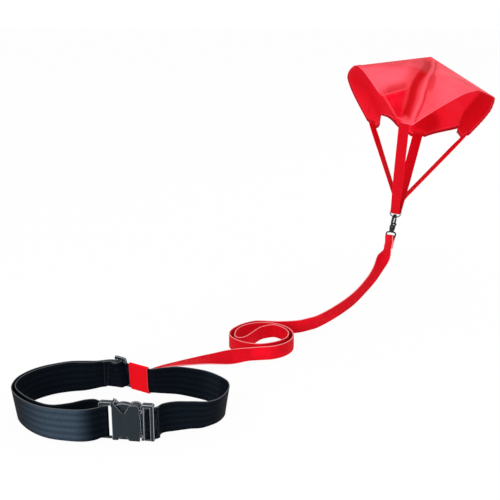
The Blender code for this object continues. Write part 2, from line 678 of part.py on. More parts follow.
# Swivel eye: a wide loop of wire with a bored collar, and the headed post in it on which the hook
# turns

eye_outline = rounded([(-EYE_HALF_WIDTH, EYE_BAR_Z), (EYE_HALF_WIDTH, EYE_BAR_Z),
                       (EYE_HALF_WIDTH, EYE_TOP_Z - 1.5), (6.0, EYE_TOP_Z), (-6.0, EYE_TOP_Z),
                       (-EYE_HALF_WIDTH, EYE_TOP_Z - 1.5)], 3.5)
eye = to_mesh(wire("swivel_eye", [(x, 0.0, z) for x, z in eye_outline], EYE_WIRE, black_metal, eye_frame,
                   cyclic=True))


def turned(name, profile, finish, parent, sides=20, group=parts):
    """A piece turned about the frame's Z axis from an outer profile that runs top to bottom."""
    mesh = bpy.data.meshes.new(name)
    edges = [(i, i + 1) for i in range(len(profile) - 1)]
    mesh.from_pydata([(r * MM, 0.0, z * MM) for r, z in profile], edges, [])
    made = add_object(name, mesh, finish, parent, group)
    screw = made.modifiers.new("turn", "SCREW")
    screw.steps = sides
    screw.render_steps = sides
    screw.use_merge_vertices = True
    screw.merge_threshold = 0.00001
    return made


collar_profile = [(0.0, -37.8), (4.6, -37.8), (4.9, -38.3), (4.9, -40.8), (4.2, -42.2), (0.0, -42.2)]
boolean(eye, turned("eye_collar", collar_profile, black_metal, eye_frame), "UNION")
boolean(eye, rod("collar_bore", (0, 0, -30.0), (0, 0, POST_END_Z - GAP), POST_RADIUS + GAP, parent=eye_frame,
                 sides=20), "DIFFERENCE")
post_profile = [(0.0, -25.4), (2.6, -25.4), (3.0, -25.9), (3.0, -26.7), (POST_RADIUS, -26.7),
                (POST_RADIUS, POST_END_Z), (0.0, POST_END_Z)]
turned("swivel_post", post_profile, steel, eye_frame)


# Hook body: a bent bow over a barrel bored for the post, with a fork that holds the gate.
# In the hook's plane X points to the gate side and Z runs along the towing axis.

hook_plane = empty("hook_plane", hook_frame.matrix_world @ Matrix.Rotation(pi / 2, 4, "Z"))
bow_centre = (0.0, BOW_Z - 3.3)
spine = [(-5.0, -28.5), (-6.6, -23.0), (-6.5, -17.0), (-5.9, -12.5)]
nose = [(5.6, -13.0), (2.5, -13.2)]
inside = [(-2.4, -13.5), (-3.0, -18.0), (-2.9, -24.0), (-2.6, -26.6), (2.6, -26.6), (4.5, -28.5)]
hook_outline = spine + arc(bow_centre, 3.3 + BOW_WIRE, 165, 15, 9) + nose
hook_outline += arc(bow_centre, 3.5 - BOW_WIRE, -10, 190, 8) + inside + [(4.5, -31.0), (-4.5, -31.0)]
hook = plate("hook_body", [hook_outline], -BOW_WIRE, BOW_WIRE, black_metal, hook_plane, bevel=0.7)
barrel_profile = [(0.0, -27.0), (4.4, -27.0), (5.5, -28.3), (5.7, -33.0), (5.0, -36.6),
                  (4.4, HOOK_BASE_BOTTOM), (0.0, HOOK_BASE_BOTTOM)]
boolean(hook, turned("hook_barrel", barrel_profile, black_metal, hook_plane), "UNION")
pivot_x, pivot_z = GATE_PIVOT
fork_outline = arc(GATE_PIVOT, 2.5, -10, 190, 10) + [(1.9, -29.0), (5.2, -29.0)]
boolean(hook, plate("gate_fork", [fork_outline], -3.0, 3.0, black_metal, hook_plane), "UNION")
boolean(hook, block("fork_slot", (1.0, -1.5, pivot_z - 2.2), (12.0, 1.5, pivot_z + 6.0), parent=hook_plane),
        "DIFFERENCE")
boolean(hook, rod("post_bore", (0, 0, -20.0), (0, 0, -45.0), POST_RADIUS + 0.25, parent=hook_plane, sides=20),
        "DIFFERENCE")
boolean(hook, turned("post_seat", [(0.0, -15.0), (3.3, -15.0), (3.3, -27.0), (0.0, -27.0)], None, hook_plane),
        "DIFFERENCE")
boolean(hook, rod("pin_hole", (pivot_x, -8.0, pivot_z), (pivot_x, 8.0, pivot_z), 0.8 + GAP, parent=hook_plane,
                  sides=12), "DIFFERENCE")

gate_outline = arc(GATE_PIVOT, 1.8, 180, 360, 8) + [(pivot_x + 1.6, -18.0), (pivot_x + 1.2, -13.6)]
gate_outline += [(pivot_x - 1.6, -13.6), (pivot_x - 1.5, -18.0)]
gate = plate("hook_gate", [gate_outline, arc(GATE_PIVOT, 0.8 + GAP, 0, 330, 12)], -1.2, 1.2, black_metal,
             hook_plane)
pivot = Vector((pivot_x * MM, 0.0, pivot_z * MM))
gate.data.transform(Matrix.Translation(-pivot) @ gate.matrix_basis)
gate.matrix_basis = Matrix.Translation(pivot)
rod("gate_pin", (pivot_x, -3.2, pivot_z), (pivot_x, 3.2, pivot_z), 0.8, steel, hook_plane, sides=12)


# D-ring: a straight bar for the canopy straps and a round side that the hook's bow passes through

corner_x = RING_HALF_WIDTH - RING_CORNER
ring_outline = arc((-corner_x, -RING_CORNER), RING_CORNER, 180, 90, 5)
ring_outline += arc((corner_x, -RING_CORNER), RING_CORNER, 90, 0, 5)
ring_outline += [(RING_HALF_WIDTH * cos(a), -3.4 - (RING_DROP - 3.4) * sin(a))
                 for a in np.linspace(0.08, pi - 0.08, 17)]
wire("d_ring", [(x, 0.0, z) for x, z in ring_outline], RING_WIRE, steel, hook_frame, cyclic=True)


# Canopy: a square sheet, shallow as a cone, whose four corners fold down and in where the straps
# pull. The sheet coordinates are distances toward the front corner and toward the right corner.
# The bearing round the sheet is 0 at the front corner and 90 at the right one, and the directions
# and slopes below are given every 45 degrees of it.

HALF_SIDE = CANOPY_SIDE / 2
APEX_HEIGHT = 310.6
FOLD_AT = 117.9
FOLD_LENGTH = 35.2
DIRECTIONS = (-108.7, -59.8, -11.7, 31.9, 73.1, 113.7, 159.8, -150.0)
SLOPES = (24.8, 25.0, 24.8, 25.5, 24.8, 26.5, 24.8, 22.2)
FOLD_ANGLES = (75.3, 98.2, 99.6, 90.3)
FOLD_SPREAD = -0.66
FOLD_TILTS = (0.01, 0.39, -0.13, -0.16)
FLAP_TURNS = (-2.9, 75.5, -3.0, -18.5)
TILT_REACH = 90.0
CORNER_CUT = 17.0
CORNER_START = 195.0
SHEET_END = HALF_SIDE * 2 ** 0.5 - CORNER_CUT
CORNER_NAMES = ("front", "right", "back", "left")


def round_the_sheet(values, bearing):
    """Smooth value at a bearing, through values given every 45 degrees of it."""
    values = np.array(values)
    place = np.degrees(bearing) / 45.0 % 8
    index = np.floor(place).astype(int) % 8
    t = place - np.floor(place)
    a, b, c, d = (values[(index + k) % 8] for k in (-1, 0, 1, 2))
    return b + 0.5 * t * (c - a + t * (2 * a - 5 * b + 4 * c - d + t * (3 * (b - c) + d - a)))


def crown(toward_front, toward_right):
    """The cone-like crown: each sheet point at its distance from the apex, down its own slope."""
    reach = np.hypot(toward_front, toward_right)
    bearing = np.arctan2(toward_right, toward_front)
    base = DIRECTIONS[0] + 45.0 * np.arange(8)
    wander = [(d - b + 180.0) % 360.0 - 180.0 for d, b in zip(DIRECTIONS, base)]
    heading = radians(DIRECTIONS[0]) + bearing + np.radians(round_the_sheet(wander, bearing))
    slope = np.radians(round_the_sheet(SLOPES, bearing))
    out = reach * np.cos(slope)
    return np.stack([out * np.cos(heading), out * np.sin(heading), APEX_HEIGHT - reach * np.sin(slope)], -1)


def flap_heading(corner):
    """Direction in degrees in which a corner's flap folds over."""
    return DIRECTIONS[2 * corner] + FLAP_TURNS[corner]


def canopy_surface(toward_front, toward_right):
    """Crown plus folded corners: past the fold line, which may lie askew, a point goes on down a slope
    that steepens steadily over the fold's length, straight along the flap's own direction."""
    toward_front = np.asarray(toward_front, float)
    toward_right = np.asarray(toward_right, float)
    places = crown(toward_front, toward_right)
    samples = (np.arange(24) + 0.5) / 24
    for k, (fx, rx) in enumerate(((1, 0), (0, 1), (-1, 0), (0, -1))):
        along = toward_front * fx + toward_right * rx
        across = -toward_front * rx + toward_right * fx
        fold_at = FOLD_AT - FOLD_TILTS[k] * np.clip(across, -TILT_REACH, TILT_REACH)
        fold_at = np.maximum(fold_at, np.abs(across))
        past = np.maximum(along - fold_at, 0.0)
        held = np.minimum(along, fold_at)
        base = crown(held * fx - across * rx, held * rx + across * fx)
        bent = np.clip(past[..., None] * samples / FOLD_LENGTH, 0.0, 1.0)
        spread = 1.0 + FOLD_SPREAD * (across[..., None] / HALF_SIDE) ** 2
        slope = np.radians(SLOPES[2 * k] + FOLD_ANGLES[k] * bent * spread)
        out = past * np.cos(slope).mean(-1)
        heading = radians(flap_heading(k))
        folded = base + np.stack([out * cos(heading), out * sin(heading), -past * np.sin(slope).mean(-1)], -1)
        chosen = (along > fold_at) & (along >= np.abs(across) - 1e-9)
        places[chosen] = folded[chosen]
    return places


def trimmed(toward_front, toward_right):
    """Sheet coordinates with each corner cut straight across where a strap is sewn. Near a corner the
    distances towards it are scaled so that its two edges end at the cut."""
    for fx, rx in ((1, 0), (0, 1), (-1, 0), (0, -1)):
        along = toward_front * fx + toward_right * rx
        across = np.abs(-toward_front * rx + toward_right * fx)
        edge = np.maximum(HALF_SIDE * 2 ** 0.5 - across, CORNER_START + 1.0)
        limit = np.minimum(edge, SHEET_END)
        scale = (limit - CORNER_START) / (edge - CORNER_START)
        draw = np.maximum(along - CORNER_START, 0.0) * (1.0 - scale)
        toward_front = toward_front - draw * fx
        toward_right = toward_right - draw * rx
    return toward_front, toward_right


def canopy_sheet(name, cells):
    """The sheet as an open grid, thickened evenly to both sides."""
    across = np.linspace(-1.0, 1.0, cells + 1) * HALF_SIDE
    u, v = np.meshgrid(across, across, indexing="ij")
    front, right = trimmed((u + v) / 2 ** 0.5, (u - v) / 2 ** 0.5)
    places = canopy_surface(front, right).reshape(-1, 3) * MM
    mesh = bpy.data.meshes.new(name)
    form = bmesh.new()
    bmesh.ops.create_grid(form, x_segments=cells, y_segments=cells, size=HALF_SIDE * MM)
    form.verts.ensure_lookup_table()
    for corner in form.verts:
        column = round((corner.co.x / (HALF_SIDE * MM) + 1) / 2 * cells)
        row = round((corner.co.y / (HALF_SIDE * MM) + 1) / 2 * cells)
        corner.co = places[column * (cells + 1) + row]
    form.to_mesh(mesh)
    form.free()
    made = add_object(name, mesh, red_cloth, parachute_frame)
    shell = made.modifiers.new("cloth", "SOLIDIFY")
    shell.thickness = CANOPY_THICK * MM
    shell.offset = 0.0
    return made


canopy_sheet("canopy", CANOPY_CELLS)


# Canopy straps: two lengths of tape. Each runs from one corner down round the D-ring bar and up to
# the opposite corner. The left-right one lies inside the front-back one at the bar. The ends are
# sewn under the folded corners.

SEWN_LENGTH = 26.0
SIDE_STEP = 1.0
bar_along = np.array([cos(radians(HOOK_TURN)), sin(radians(HOOK_TURN)), 0.0])
bar_across = np.array([-bar_along[1], bar_along[0], 0.0])
bar_frame = empty("bar_frame", parachute_frame.matrix_world
                  @ frame_matrix((0, 0, 0), bar_across, upward, bar_along))


def corner_end(corner):
    """Places of a strap's sewn end, on the inner side of its corner flap, from the ring's side inward."""
    fx, rx = ((1, 0), (0, 1), (-1, 0), (0, -1))[corner]
    stations = SHEET_END - np.linspace(-1.5, SEWN_LENGTH, 6)
    places = canopy_surface(stations * fx, stations * rx)
    ahead = canopy_surface((stations - 1.0) * fx, (stations - 1.0) * rx) - places
    sideways = canopy_surface(stations * fx - SIDE_STEP * rx, stations * rx + SIDE_STEP * fx) - places
    normal = np.cross(ahead, sideways)
    normal /= np.linalg.norm(normal, axis=1)[:, None]
    middle = np.array([0.0, 0.0, 180.0])
    normal *= np.sign((normal * (middle - places)).sum(1))[:, None]
    return places + normal * (CANOPY_THICK / 2 + GAP + STRAP_THICK / 2 + 0.7), unit(sideways.mean(0))


LEG_STATIONS = (0.02, 0.05, 0.09, 0.14, 0.2, 0.3, 0.42, 0.56, 0.7, 0.85)


def strap(name, first, last, turn_radius, upright_part, twist_part):
    """One tape from its first corner round the bar to its last corner. Each leg rises upright from
    the bar over a part of its height before it runs straight, and twists over another part."""
    first_end, first_side = corner_end(first)
    last_end, last_side = corner_end(last)
    bend = [bar_across * y + upward * z for y, z in arc((0.0, 0.0), turn_radius, 210, 330, 7)]
    rows = []
    for end, side, start in ((first_end, first_side, bend[0]), (last_end, last_side, bend[-1])):
        if side @ bar_along < 0:
            side = -side
        full = atan2(np.cross(bar_along, side)[2], bar_along @ side)
        leg = []
        for f in LEG_STATIONS:
            sideways = (f * f / (2 * upright_part) if f < upright_part else f - upright_part / 2)
            sideways /= 1 - upright_part / 2
            place = start + (end[0] - start) * np.array([sideways, sideways, f])
            t = min(f / twist_part, 1.0)
            angle = radians(HOOK_TURN) + full * t * t * (3 - 2 * t)
            leg.append((*place, cos(angle), sin(angle), 0.0))
        rows.append(leg + [(*place, *side) for place in end])
    middle = [(*p, *bar_along) for p in bend]
    route = smooth(rows[0][::-1] + middle + rows[1], 1.0)
    route = thin_out_3d(route, 1, 8.0, 12.0)
    to_bar = np.stack([bar_across, upward, bar_along], axis=1)
    tape(name, route[:, :3] @ to_bar, route[:, 3:6] @ to_bar, STRAP_WIDTH, STRAP_THICK, red_tape, bar_frame)


def thin_out_3d(rows, fine, coarse, bend):
    """As thin_out, for a route that bends in any direction."""
    ahead = np.gradient(rows[:, :3], axis=0)
    ahead /= np.linalg.norm(ahead, axis=1)[:, None]
    kept = [0]
    for i in range(1, len(rows) - 1):
        walked = i - kept[-1]
        turned_by = degrees(np.arccos(np.clip(ahead[i] @ ahead[kept[-1]], -1, 1)))
        if walked >= coarse or (walked >= fine and turned_by > bend):
            kept.append(i)
    return rows[kept + [len(rows) - 1]]


inner_turn = RING_WIRE + GAP + STRAP_THICK / 2 + 0.35
strap("canopy_strap_left_right", 3, 1, inner_turn, 0.22, 0.22)
strap("canopy_strap_front_back", 0, 2, inner_turn + STRAP_THICK + 0.55, 0.01, 0.5)
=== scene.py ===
from math import atan2, cos, degrees, pi, radians, sin, tan
import bmesh
import bpy
import numpy as np
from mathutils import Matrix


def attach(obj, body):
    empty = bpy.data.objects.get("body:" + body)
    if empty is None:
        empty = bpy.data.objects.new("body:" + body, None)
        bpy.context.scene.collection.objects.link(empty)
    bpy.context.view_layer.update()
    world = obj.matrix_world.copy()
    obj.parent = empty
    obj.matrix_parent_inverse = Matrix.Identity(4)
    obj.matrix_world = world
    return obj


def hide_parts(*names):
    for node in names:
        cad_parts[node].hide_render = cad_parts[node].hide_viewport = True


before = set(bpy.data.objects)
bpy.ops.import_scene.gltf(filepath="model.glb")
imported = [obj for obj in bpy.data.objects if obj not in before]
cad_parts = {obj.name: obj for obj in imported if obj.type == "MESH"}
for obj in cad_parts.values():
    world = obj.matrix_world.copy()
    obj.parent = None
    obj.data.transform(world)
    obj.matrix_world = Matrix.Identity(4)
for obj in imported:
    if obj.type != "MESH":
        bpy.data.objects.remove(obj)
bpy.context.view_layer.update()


# Waist belt webbing. One length of 50 mm black webbing, woven from coarse cords that run along it.
# It starts with a sewn lap at the plug's bar, goes round the waist, over the tri-glide and round
# the socket's bar, and comes back inside itself to the tri-glide's centre bar, where it is sewn.

MM = 0.001
BELT_WIDTH = 50.0
BELT_THICK = 1.5
BELT_RIB = 1.7
BELT_PICK = 1.5
BELT_BAND = 10.0
BELT_BLACK = (0.0008, 0.0016, 0.0036)
BELT_PALE = (0.0080, 0.0122, 0.0185)

BUCKLE_CENTRE = np.array([25.1, -68.1])
BUCKLE_TURN = radians(-8.0)
SOCKET_BAR_S = -37.0
PLUG_BAR_S = 24.5
BAR_RADIUS = 2.2
GLIDE_PLACE = 29.5
GLIDE_THICK = 3.0
GLIDE_OFFSET = 2.6
LOOP_CENTRE = np.array([18.86, 80.48, 0.0])
LOOP_LEAN = np.array([0.0, -8.0, BELT_WIDTH / 2])
GAP = 0.3
LAP_FACE = -1.0
GLIDE_LAP_FACE = -1.0


def unit(vectors):
    """Vectors at length one."""
    vectors = np.asarray(vectors, float)
    return vectors / np.linalg.norm(vectors, axis=-1, keepdims=True)


buckle_along = np.array([cos(BUCKLE_TURN), sin(BUCKLE_TURN)])
buckle_back = np.array([-buckle_along[1], buckle_along[0]])
loop_along = unit((-33.0, 20.0, 0.0))
loop_up = unit(LOOP_LEAN - loop_along * (LOOP_LEAN @ loop_along))
loop_out = np.cross(loop_along, loop_up)
glide_centre = LOOP_CENTRE + loop_along * GLIDE_PLACE


def smooth(rows, step):
    """Evenly spaced points of a centripetal Catmull-Rom curve through the rows: each span is a cubic
    whose end slopes weigh the neighbouring spans by the square roots of their lengths."""
    rows = np.asarray(rows, float)
    padded = np.vstack([2 * rows[0] - rows[1], rows, 2 * rows[-1] - rows[-2]])
    span = np.linalg.norm(np.diff(padded[:, :3], axis=0), axis=1) ** 0.5
    t = np.linspace(0, 1, 24, endpoint=False)[:, None]
    fine = []
    for i in range(len(padded) - 3):
        a, b, c, d = padded[i:i + 4]
        before, own, after = span[i:i + 3]
        slope_b = own * ((b - a) / before - (c - a) / (before + own)) + c - b
        slope_c = own * ((d - c) / after - (d - b) / (own + after)) + c - b
        fine.append(b + slope_b * t + (3 * (c - b) - 2 * slope_b - slope_c) * t ** 2
                    + (2 * (b - c) + slope_b + slope_c) * t ** 3)
    fine = np.vstack(fine + [padded[-2][None]])
    length = np.concatenate([[0.0], np.cumsum(np.linalg.norm(np.diff(fine[:, :3], axis=0), axis=1))])
    places = np.linspace(0.0, length[-1], max(2, round(length[-1] / step) + 1))
    return np.stack([np.interp(places, length, fine[:, k]) for k in range(fine.shape[1])], axis=1)


def arc(centre, radius, start, end, count):
    """Points on an arc in a plane, from the start angle to the end angle in degrees."""
    angles = np.radians(np.linspace(start, end, count))
    return [(centre[0] + radius * cos(a), centre[1] + radius * sin(a)) for a in angles]


def buckle_row(s, d, lean_x=0.0, lean_y=0.0):
    """A row of the belt's route at a place along and across the buckle, with the upper edge's lean."""
    return (*(BUCKLE_CENTRE + s * buckle_along + d * buckle_back), 0.0, lean_x, lean_y)


def glide_row(e, d):
    """A row at a place along and out from the tri-glide, in its leaning frame."""
    lean = loop_up[:2] / loop_up[2] * BELT_WIDTH / 2
    return (*(glide_centre + e * loop_along + d * loop_out), *lean)


def waist_rows(*rows):
    """Rows half way up, from plan places and leans."""
    return [(x, y, 0.0, lean_x, lean_y) for x, y, lean_x, lean_y in rows]


plug_turn = BAR_RADIUS + GAP + BELT_THICK / 2 + 0.1
socket_turn = BAR_RADIUS + GAP + BELT_THICK / 2 + 0.1
glide_turn = GLIDE_THICK / 2 + GAP + BELT_THICK / 2 + 0.5

plug_end = [buckle_row(40.5, 5.9), buckle_row(37.4, 2.2), buckle_row(33.8, -0.4), buckle_row(31.0, -1.0),
            buckle_row(29.0, -1.05), buckle_row(27.4, -2.0)]
plug_end += [buckle_row(*p) for p in arc((PLUG_BAR_S, 0.0), plug_turn, -75, -285, 8)]
plug_end += [buckle_row(27.4, 2.2), buckle_row(30.2, 1.1), buckle_row(33.2, 2.0),
             buckle_row(36.4, 4.8, 0.5, -0.5)]
round_waist = waist_rows(
    (70.0, -56.0, 1.0, -2.0), (86.0, -50.0, 2.0, -1.5), (108.0, -46.5, 3.5, -4.0), (132.0, -44.0, 4.5, -5.5),
    (149.0, -31.0, 4.0, -6.0), (160.5, -5.0, 4.0, -2.0), (160.0, 14.0, 3.0, 0.0), (153.0, 27.0, 2.0, 1.0),
    (131.0, 49.0, 0.0, 1.5), (104.0, 62.5, 0.0, 0.0), (82.0, 69.5, 0.0, -2.0), (58.0, 69.5, 0.0, -5.0),
    (41.0, 68.6, 0.0, -7.5))
round_waist += [glide_row(e, 0.0) for e in (-47.7, -38.9, -29.5, -20.1, -11.8)]
over_glide = [glide_row(-9.2, 0.0), glide_row(-7.3, 0.3), glide_row(-5.6, 3.0), glide_row(-3.6, 6.8),
              glide_row(0.0, 7.9), glide_row(3.6, 6.8), glide_row(5.6, 3.0), glide_row(7.3, 0.3),
              glide_row(9.2, -0.1), glide_row(12.0, -0.2)]
outer_left = waist_rows(
    (-22.5, 102.6, 0.0, -6.8), (-31.0, 99.8, 0.0, -5.5), (-46.0, 94.0, 0.0, -4.0), (-66.0, 90.5, 0.0, -1.0),
    (-87.0, 87.0, 0.0, 1.5), (-108.0, 80.0, 0.0, 0.5), (-126.0, 70.5, -0.5, 0.0), (-144.0, 54.0, 0.0, 1.0),
    (-156.0, 30.0, -2.0, 1.0), (-158.0, 3.0, -3.0, 0.0), (-151.5, -18.0, -3.5, 0.0),
    (-129.0, -47.5, -4.0, 1.0), (-100.5, -68.0, -3.5, 1.0), (-66.0, -77.5, -2.0, 0.8),
    (-42.0, -79.0, -0.5, 1.0), (-27.0, -74.5, 0.0, 1.0))
socket_bend = [buckle_row(-43.5, -6.6), buckle_row(-40.2, -4.4)]
socket_bend += [buckle_row(*p) for p in arc((SOCKET_BAR_S, 0.0), socket_turn, -105, 105, 9)]
socket_bend += [buckle_row(-40.2, 4.4), buckle_row(-43.5, 7.6)]
inner_left = waist_rows(
    (-22.5, -49.0, 0.0, 0.0), (-31.0, -44.0, 0.0, 0.0), (-43.0, -46.0, 0.0, 0.0), (-65.0, -58.0, 0.0, 1.0),
    (-89.0, -63.0, -1.5, 1.0), (-118.0, -46.0, -3.0, 1.0), (-145.0, -14.0, -3.5, 0.0),
    (-153.0, 4.0, -3.0, 0.0), (-151.5, 28.0, -2.0, 1.0), (-140.0, 51.0, 0.0, 1.0),
    (-123.5, 66.0, -0.5, 0.0), (-106.5, 76.0, 0.0, 0.5), (-86.0, 83.5, 0.0, 1.5),
    (-66.0, 85.0, 0.0, -1.0), (-50.0, 89.2, 0.0, -3.5), (-38.0, 94.0, 0.0, -5.0),
    (-28.0, 96.8, -1.5, -6.3))
glide_end = [glide_row(12.5, -5.3), glide_row(7.2, -4.9), glide_row(4.6, -3.4), glide_row(4.0, -0.8)]
glide_end += [glide_row(*p) for p in arc((0.0, GLIDE_OFFSET), glide_turn, 10, 250, 9)]
glide_end += [glide_row(0.6, -3.2), glide_row(3.0, -6.3), glide_row(7.4, -7.4), glide_row(12.5, -8.0)]
glide_end += waist_rows((-29.0, 94.9, -1.5, -6.3), (-38.6, 91.9, 0.0, -5.6))


def grid_piece(name, points, uv, finish, wrap=False, caps=False, sharp=40.0):
    """A surface on a grid of points in millimetres: a quad in each cell, the last column joined to
    the first where it wraps, and the first and last rows closed where it has caps."""
    rows, columns = points.shape[:2]
    index = np.arange(rows * columns).reshape(rows, columns)
    ring = np.append(index, index[:, :1], axis=1) if wrap else index
    quads = np.stack([ring[:-1, :-1], ring[:-1, 1:], ring[1:, 1:], ring[1:, :-1]], -1).reshape(-1, 4)
    faces = quads.tolist()
    if caps:
        faces += [index[0][::-1].tolist(), index[-1].tolist()]
    return mesh_piece(name, points.reshape(-1, 3), faces, uv.reshape(-1, 2), finish, sharp)


def mesh_piece(name, points, faces, uv, finish, sharp=40.0):
    """A closed mesh with its faces turned outwards, a UV map in metres, and its material."""
    mesh = bpy.data.meshes.new(name)
    mesh.from_pydata((points * MM).tolist(), [], faces)
    form = bmesh.new()
    form.from_mesh(mesh)
    bmesh.ops.recalc_face_normals(form, faces=form.faces)
    form.to_mesh(mesh)
    form.free()
    corners = np.empty(len(mesh.loops), np.int32)
    mesh.loops.foreach_get("vertex_index", corners)
    layer = mesh.uv_layers.new(name="UVMap")
    layer.data.foreach_set("uv", (uv[corners] * MM).astype(np.float32).ravel())
    mesh.shade_smooth()
    mesh.set_sharp_from_angle(angle=radians(sharp))
    mesh.materials.append(finish)
    made = bpy.data.objects.new(name, mesh)
    bpy.context.scene.collection.objects.link(made)
    return made


def slot_outline(width, thick, flats=8, turns=4):
    """Outline of a tape's section, a slot with half-round edges, as columns across and through."""
    half = (width - thick) / 2
    flat = np.linspace(-half, half, flats + 1)
    turn = np.linspace(pi / 2, -pi / 2, turns + 2)[1:-1]
    top = np.column_stack([flat, np.full(flats + 1, thick / 2)])
    right = np.column_stack([half + thick / 2 * np.cos(turn), thick / 2 * np.sin(turn)])
    return np.vstack([top, right, -top, -right])


def ribbon(name, points, widths, width, thick, finish, flats=8):
    """A tape carried along a path: the slot outline stands square to the path at each point, with
    its long side along the width direction made square to the path. The UV map runs across and
    along the tape."""
    points = np.asarray(points, float)
    ahead = unit(np.gradient(points, axis=0))
    widths = unit(widths - ahead * (widths * ahead).sum(1, keepdims=True))
    face = np.cross(ahead, widths)
    outline = slot_outline(width, thick, flats)
    grid = points[:, None] + widths[:, None] * outline[None, :, :1] + face[:, None] * outline[None, :, 1:]
    walked = np.concatenate([[0.0], np.cumsum(np.linalg.norm(np.diff(points, axis=0), axis=1))])
    uv = np.stack(np.broadcast_arrays(outline[None, :, 0], walked[:, None]), -1)
    return grid_piece(name, grid, uv, finish, wrap=True, caps=True)


class Signal:
    """A shader socket. Arithmetic on it adds Math nodes and gives another one."""

    def __init__(self, finish, socket):
        self.finish = finish
        self.socket = socket

    def math(self, operation, *values):
        return self.finish.add("ShaderNodeMath", {"operation": operation}, dict(enumerate(values)))

    def __add__(self, other):
        return self.math("ADD", self, other)

    def __sub__(self, other):
        return self.math("SUBTRACT", self, other)

    def __rsub__(self, other):
        return self.math("SUBTRACT", other, self)

    def __mul__(self, other):
        return self.math("MULTIPLY", self, other)

    def __truediv__(self, other):
        return self.math("DIVIDE", self, other)

    def __pow__(self, power):
        return self.math("POWER", self, power)

    def __abs__(self):
        return self.math("ABSOLUTE", self)

    def larger(self, other):
        return self.math("MAXIMUM", self, other)

    def floor(self):
        return self.math("FLOOR", self)

    def sine(self):
        return self.math("SINE", self)

    def between(self, low, high):
        """0 up to the low value, 1 from the high one, eased between them."""
        return self.finish.add("ShaderNodeMapRange", {"interpolation_type": "SMOOTHSTEP"},
                               {0: self, 1: low, 2: high, 3: 0.0, 4: 1.0})

    __radd__ = __add__
    __rmul__ = __mul__


class Finish:
    """A procedural material. Constants go on the shader's own sockets."""

    def __init__(self, name, constants):
        self.material = bpy.data.materials.new(name)
        self.material.use_nodes = True
        self.nodes = self.material.node_tree.nodes
        self.links = self.material.node_tree.links
        self.shader = self.nodes["Principled BSDF"]
        for socket, value in constants.items():
            self.shader.inputs[socket].default_value = value

    def add(self, kind, settings, sockets, output=0):
        """A node of a kind, with its settings made first and then its sockets' values or links."""
        node = self.nodes.new(kind)
        for key, value in settings.items():
            setattr(node, key, value)
        for key, value in sockets.items():
            if isinstance(value, Signal):
                self.links.new(value.socket, node.inputs[key])
            else:
                node.inputs[key].default_value = value
        return Signal(self, node.outputs[output])

    def across_along(self):
        """The two distances of the piece's UV map, in millimetres."""
        place = self.add("ShaderNodeUVMap", {"uv_map": "UVMap"}, {})
        return [self.add("ShaderNodeSeparateXYZ", {}, {0: place}, k) * 1000.0 for k in (0, 1)]

    def noise(self, size, detail=2.0, rough=0.5, stretch=(1.0, 1.0, 1.0)):
        """Noise from -1 to 1 on object coordinates, with blotches of a size in millimetres."""
        place = self.add("ShaderNodeTexCoord", {}, {}, "Object")
        place = self.add("ShaderNodeMapping", {}, {"Vector": place, "Scale": stretch})
        sockets = {"Vector": place, "Scale": 1000.0 / size, "Detail": detail, "Roughness": rough}
        return self.add("ShaderNodeTexNoise", {}, sockets, "Fac") * 2.0 - 1.0

    def mix(self, share, first, second):
        """A colour between two, by the share of the second."""
        settings = {"data_type": "RGBA", "clamp_factor": False}
        return self.add("ShaderNodeMix", settings, {0: share, 6: opaque(first), 7: opaque(second)}, 2)

    def bump(self, height, depth, strength=1.0):
        """Puts a height from 0 to 1 on the shader's normal, at a depth in millimetres."""
        sockets = {"Strength": strength, "Distance": depth * MM, "Height": height}
        normal = self.add("ShaderNodeBump", {}, sockets, "Normal")
        self.links.new(normal.socket, self.shader.inputs["Normal"])

    def feed(self, socket, value):
        self.links.new(value.socket, self.shader.inputs[socket])


def opaque(colour):
    """A colour with its alpha, unless it comes from a node."""
    return colour if isinstance(colour, Signal) else (*colour, 1.0)


def woven(name, dark, pale, half_width, rib, pick, band=0.0, roughness=0.55, shine=0.35, lift=0.06,
          painted_sheen=(), ior=1.2, glow=0.0):
    """Woven tape. Cords run along it at the rib's pitch as half sine waves, and the picks that cross
    them are sine waves shifted by half a step from cord to cord. Slow bands of tighter cords run
    along a wide tape, and the yarn varies a little from place to place. Its edges are painted paler
    as a highlight, given stretches along it are painted paler as a sheen, and random blotches are
    painted paler as highlights."""
    cloth = Finish(name, {"IOR": ior, "Specular IOR Level": shine})
    across, along = cloth.across_along()
    cord = across / rib
    crown = abs((cord * pi).sine())
    pick_wave = (along * (2 * pi / pick) + cord.floor() * pi).sine() * 0.5 + 0.5
    weave = crown * (pick_wave * 0.4 + 0.6)
    edge = abs(across).between(half_width - 0.9, half_width - 0.5)
    yarn = cloth.noise(3.0, 3.0) * 0.5 + 0.5
    tone = weave * 0.6 + yarn * 0.4
    if band:
        tone = tone * ((across * (2 * pi / band)).sine() * 0.26 + 0.74)
    # Painted sheen: each given stretch along the tape is made paler where a highlight falls on it.
    for rise, full, falling, gone, strength in painted_sheen:
        painted_shine = along.between(rise, full) * (1.0 - along.between(falling, gone))
        tone = tone + painted_shine * strength * (tone + 0.25)
    # Painted highlights: the glow noise makes random blotches of the tape paler, standing in for its
    # highlights.
    colour = cloth.mix(tone + cloth.noise(60.0).between(-0.1, 0.5) * glow, dark, pale)
    # Painted highlight: the tape's edges are made paler by the lift, standing in for light caught on their
    # rounded edges.
    painted_edge = tuple(min(1.0, part + lift) for part in pale)
    cloth.feed("Base Color", cloth.mix(edge, colour, painted_edge))
    cloth.feed("Roughness", roughness + (1.0 - weave) * 0.2)
    cloth.bump(weave + edge * 0.4, 0.25)
    return cloth.material


belt_route = smooth(plug_end + round_waist + over_glide + outer_left + socket_bend + inner_left
                    + glide_end, 1.3)
belt_points = belt_route[:, :3]
belt_walk = np.concatenate([[0.0], np.cumsum(np.linalg.norm(np.diff(belt_points, axis=0), axis=1))])


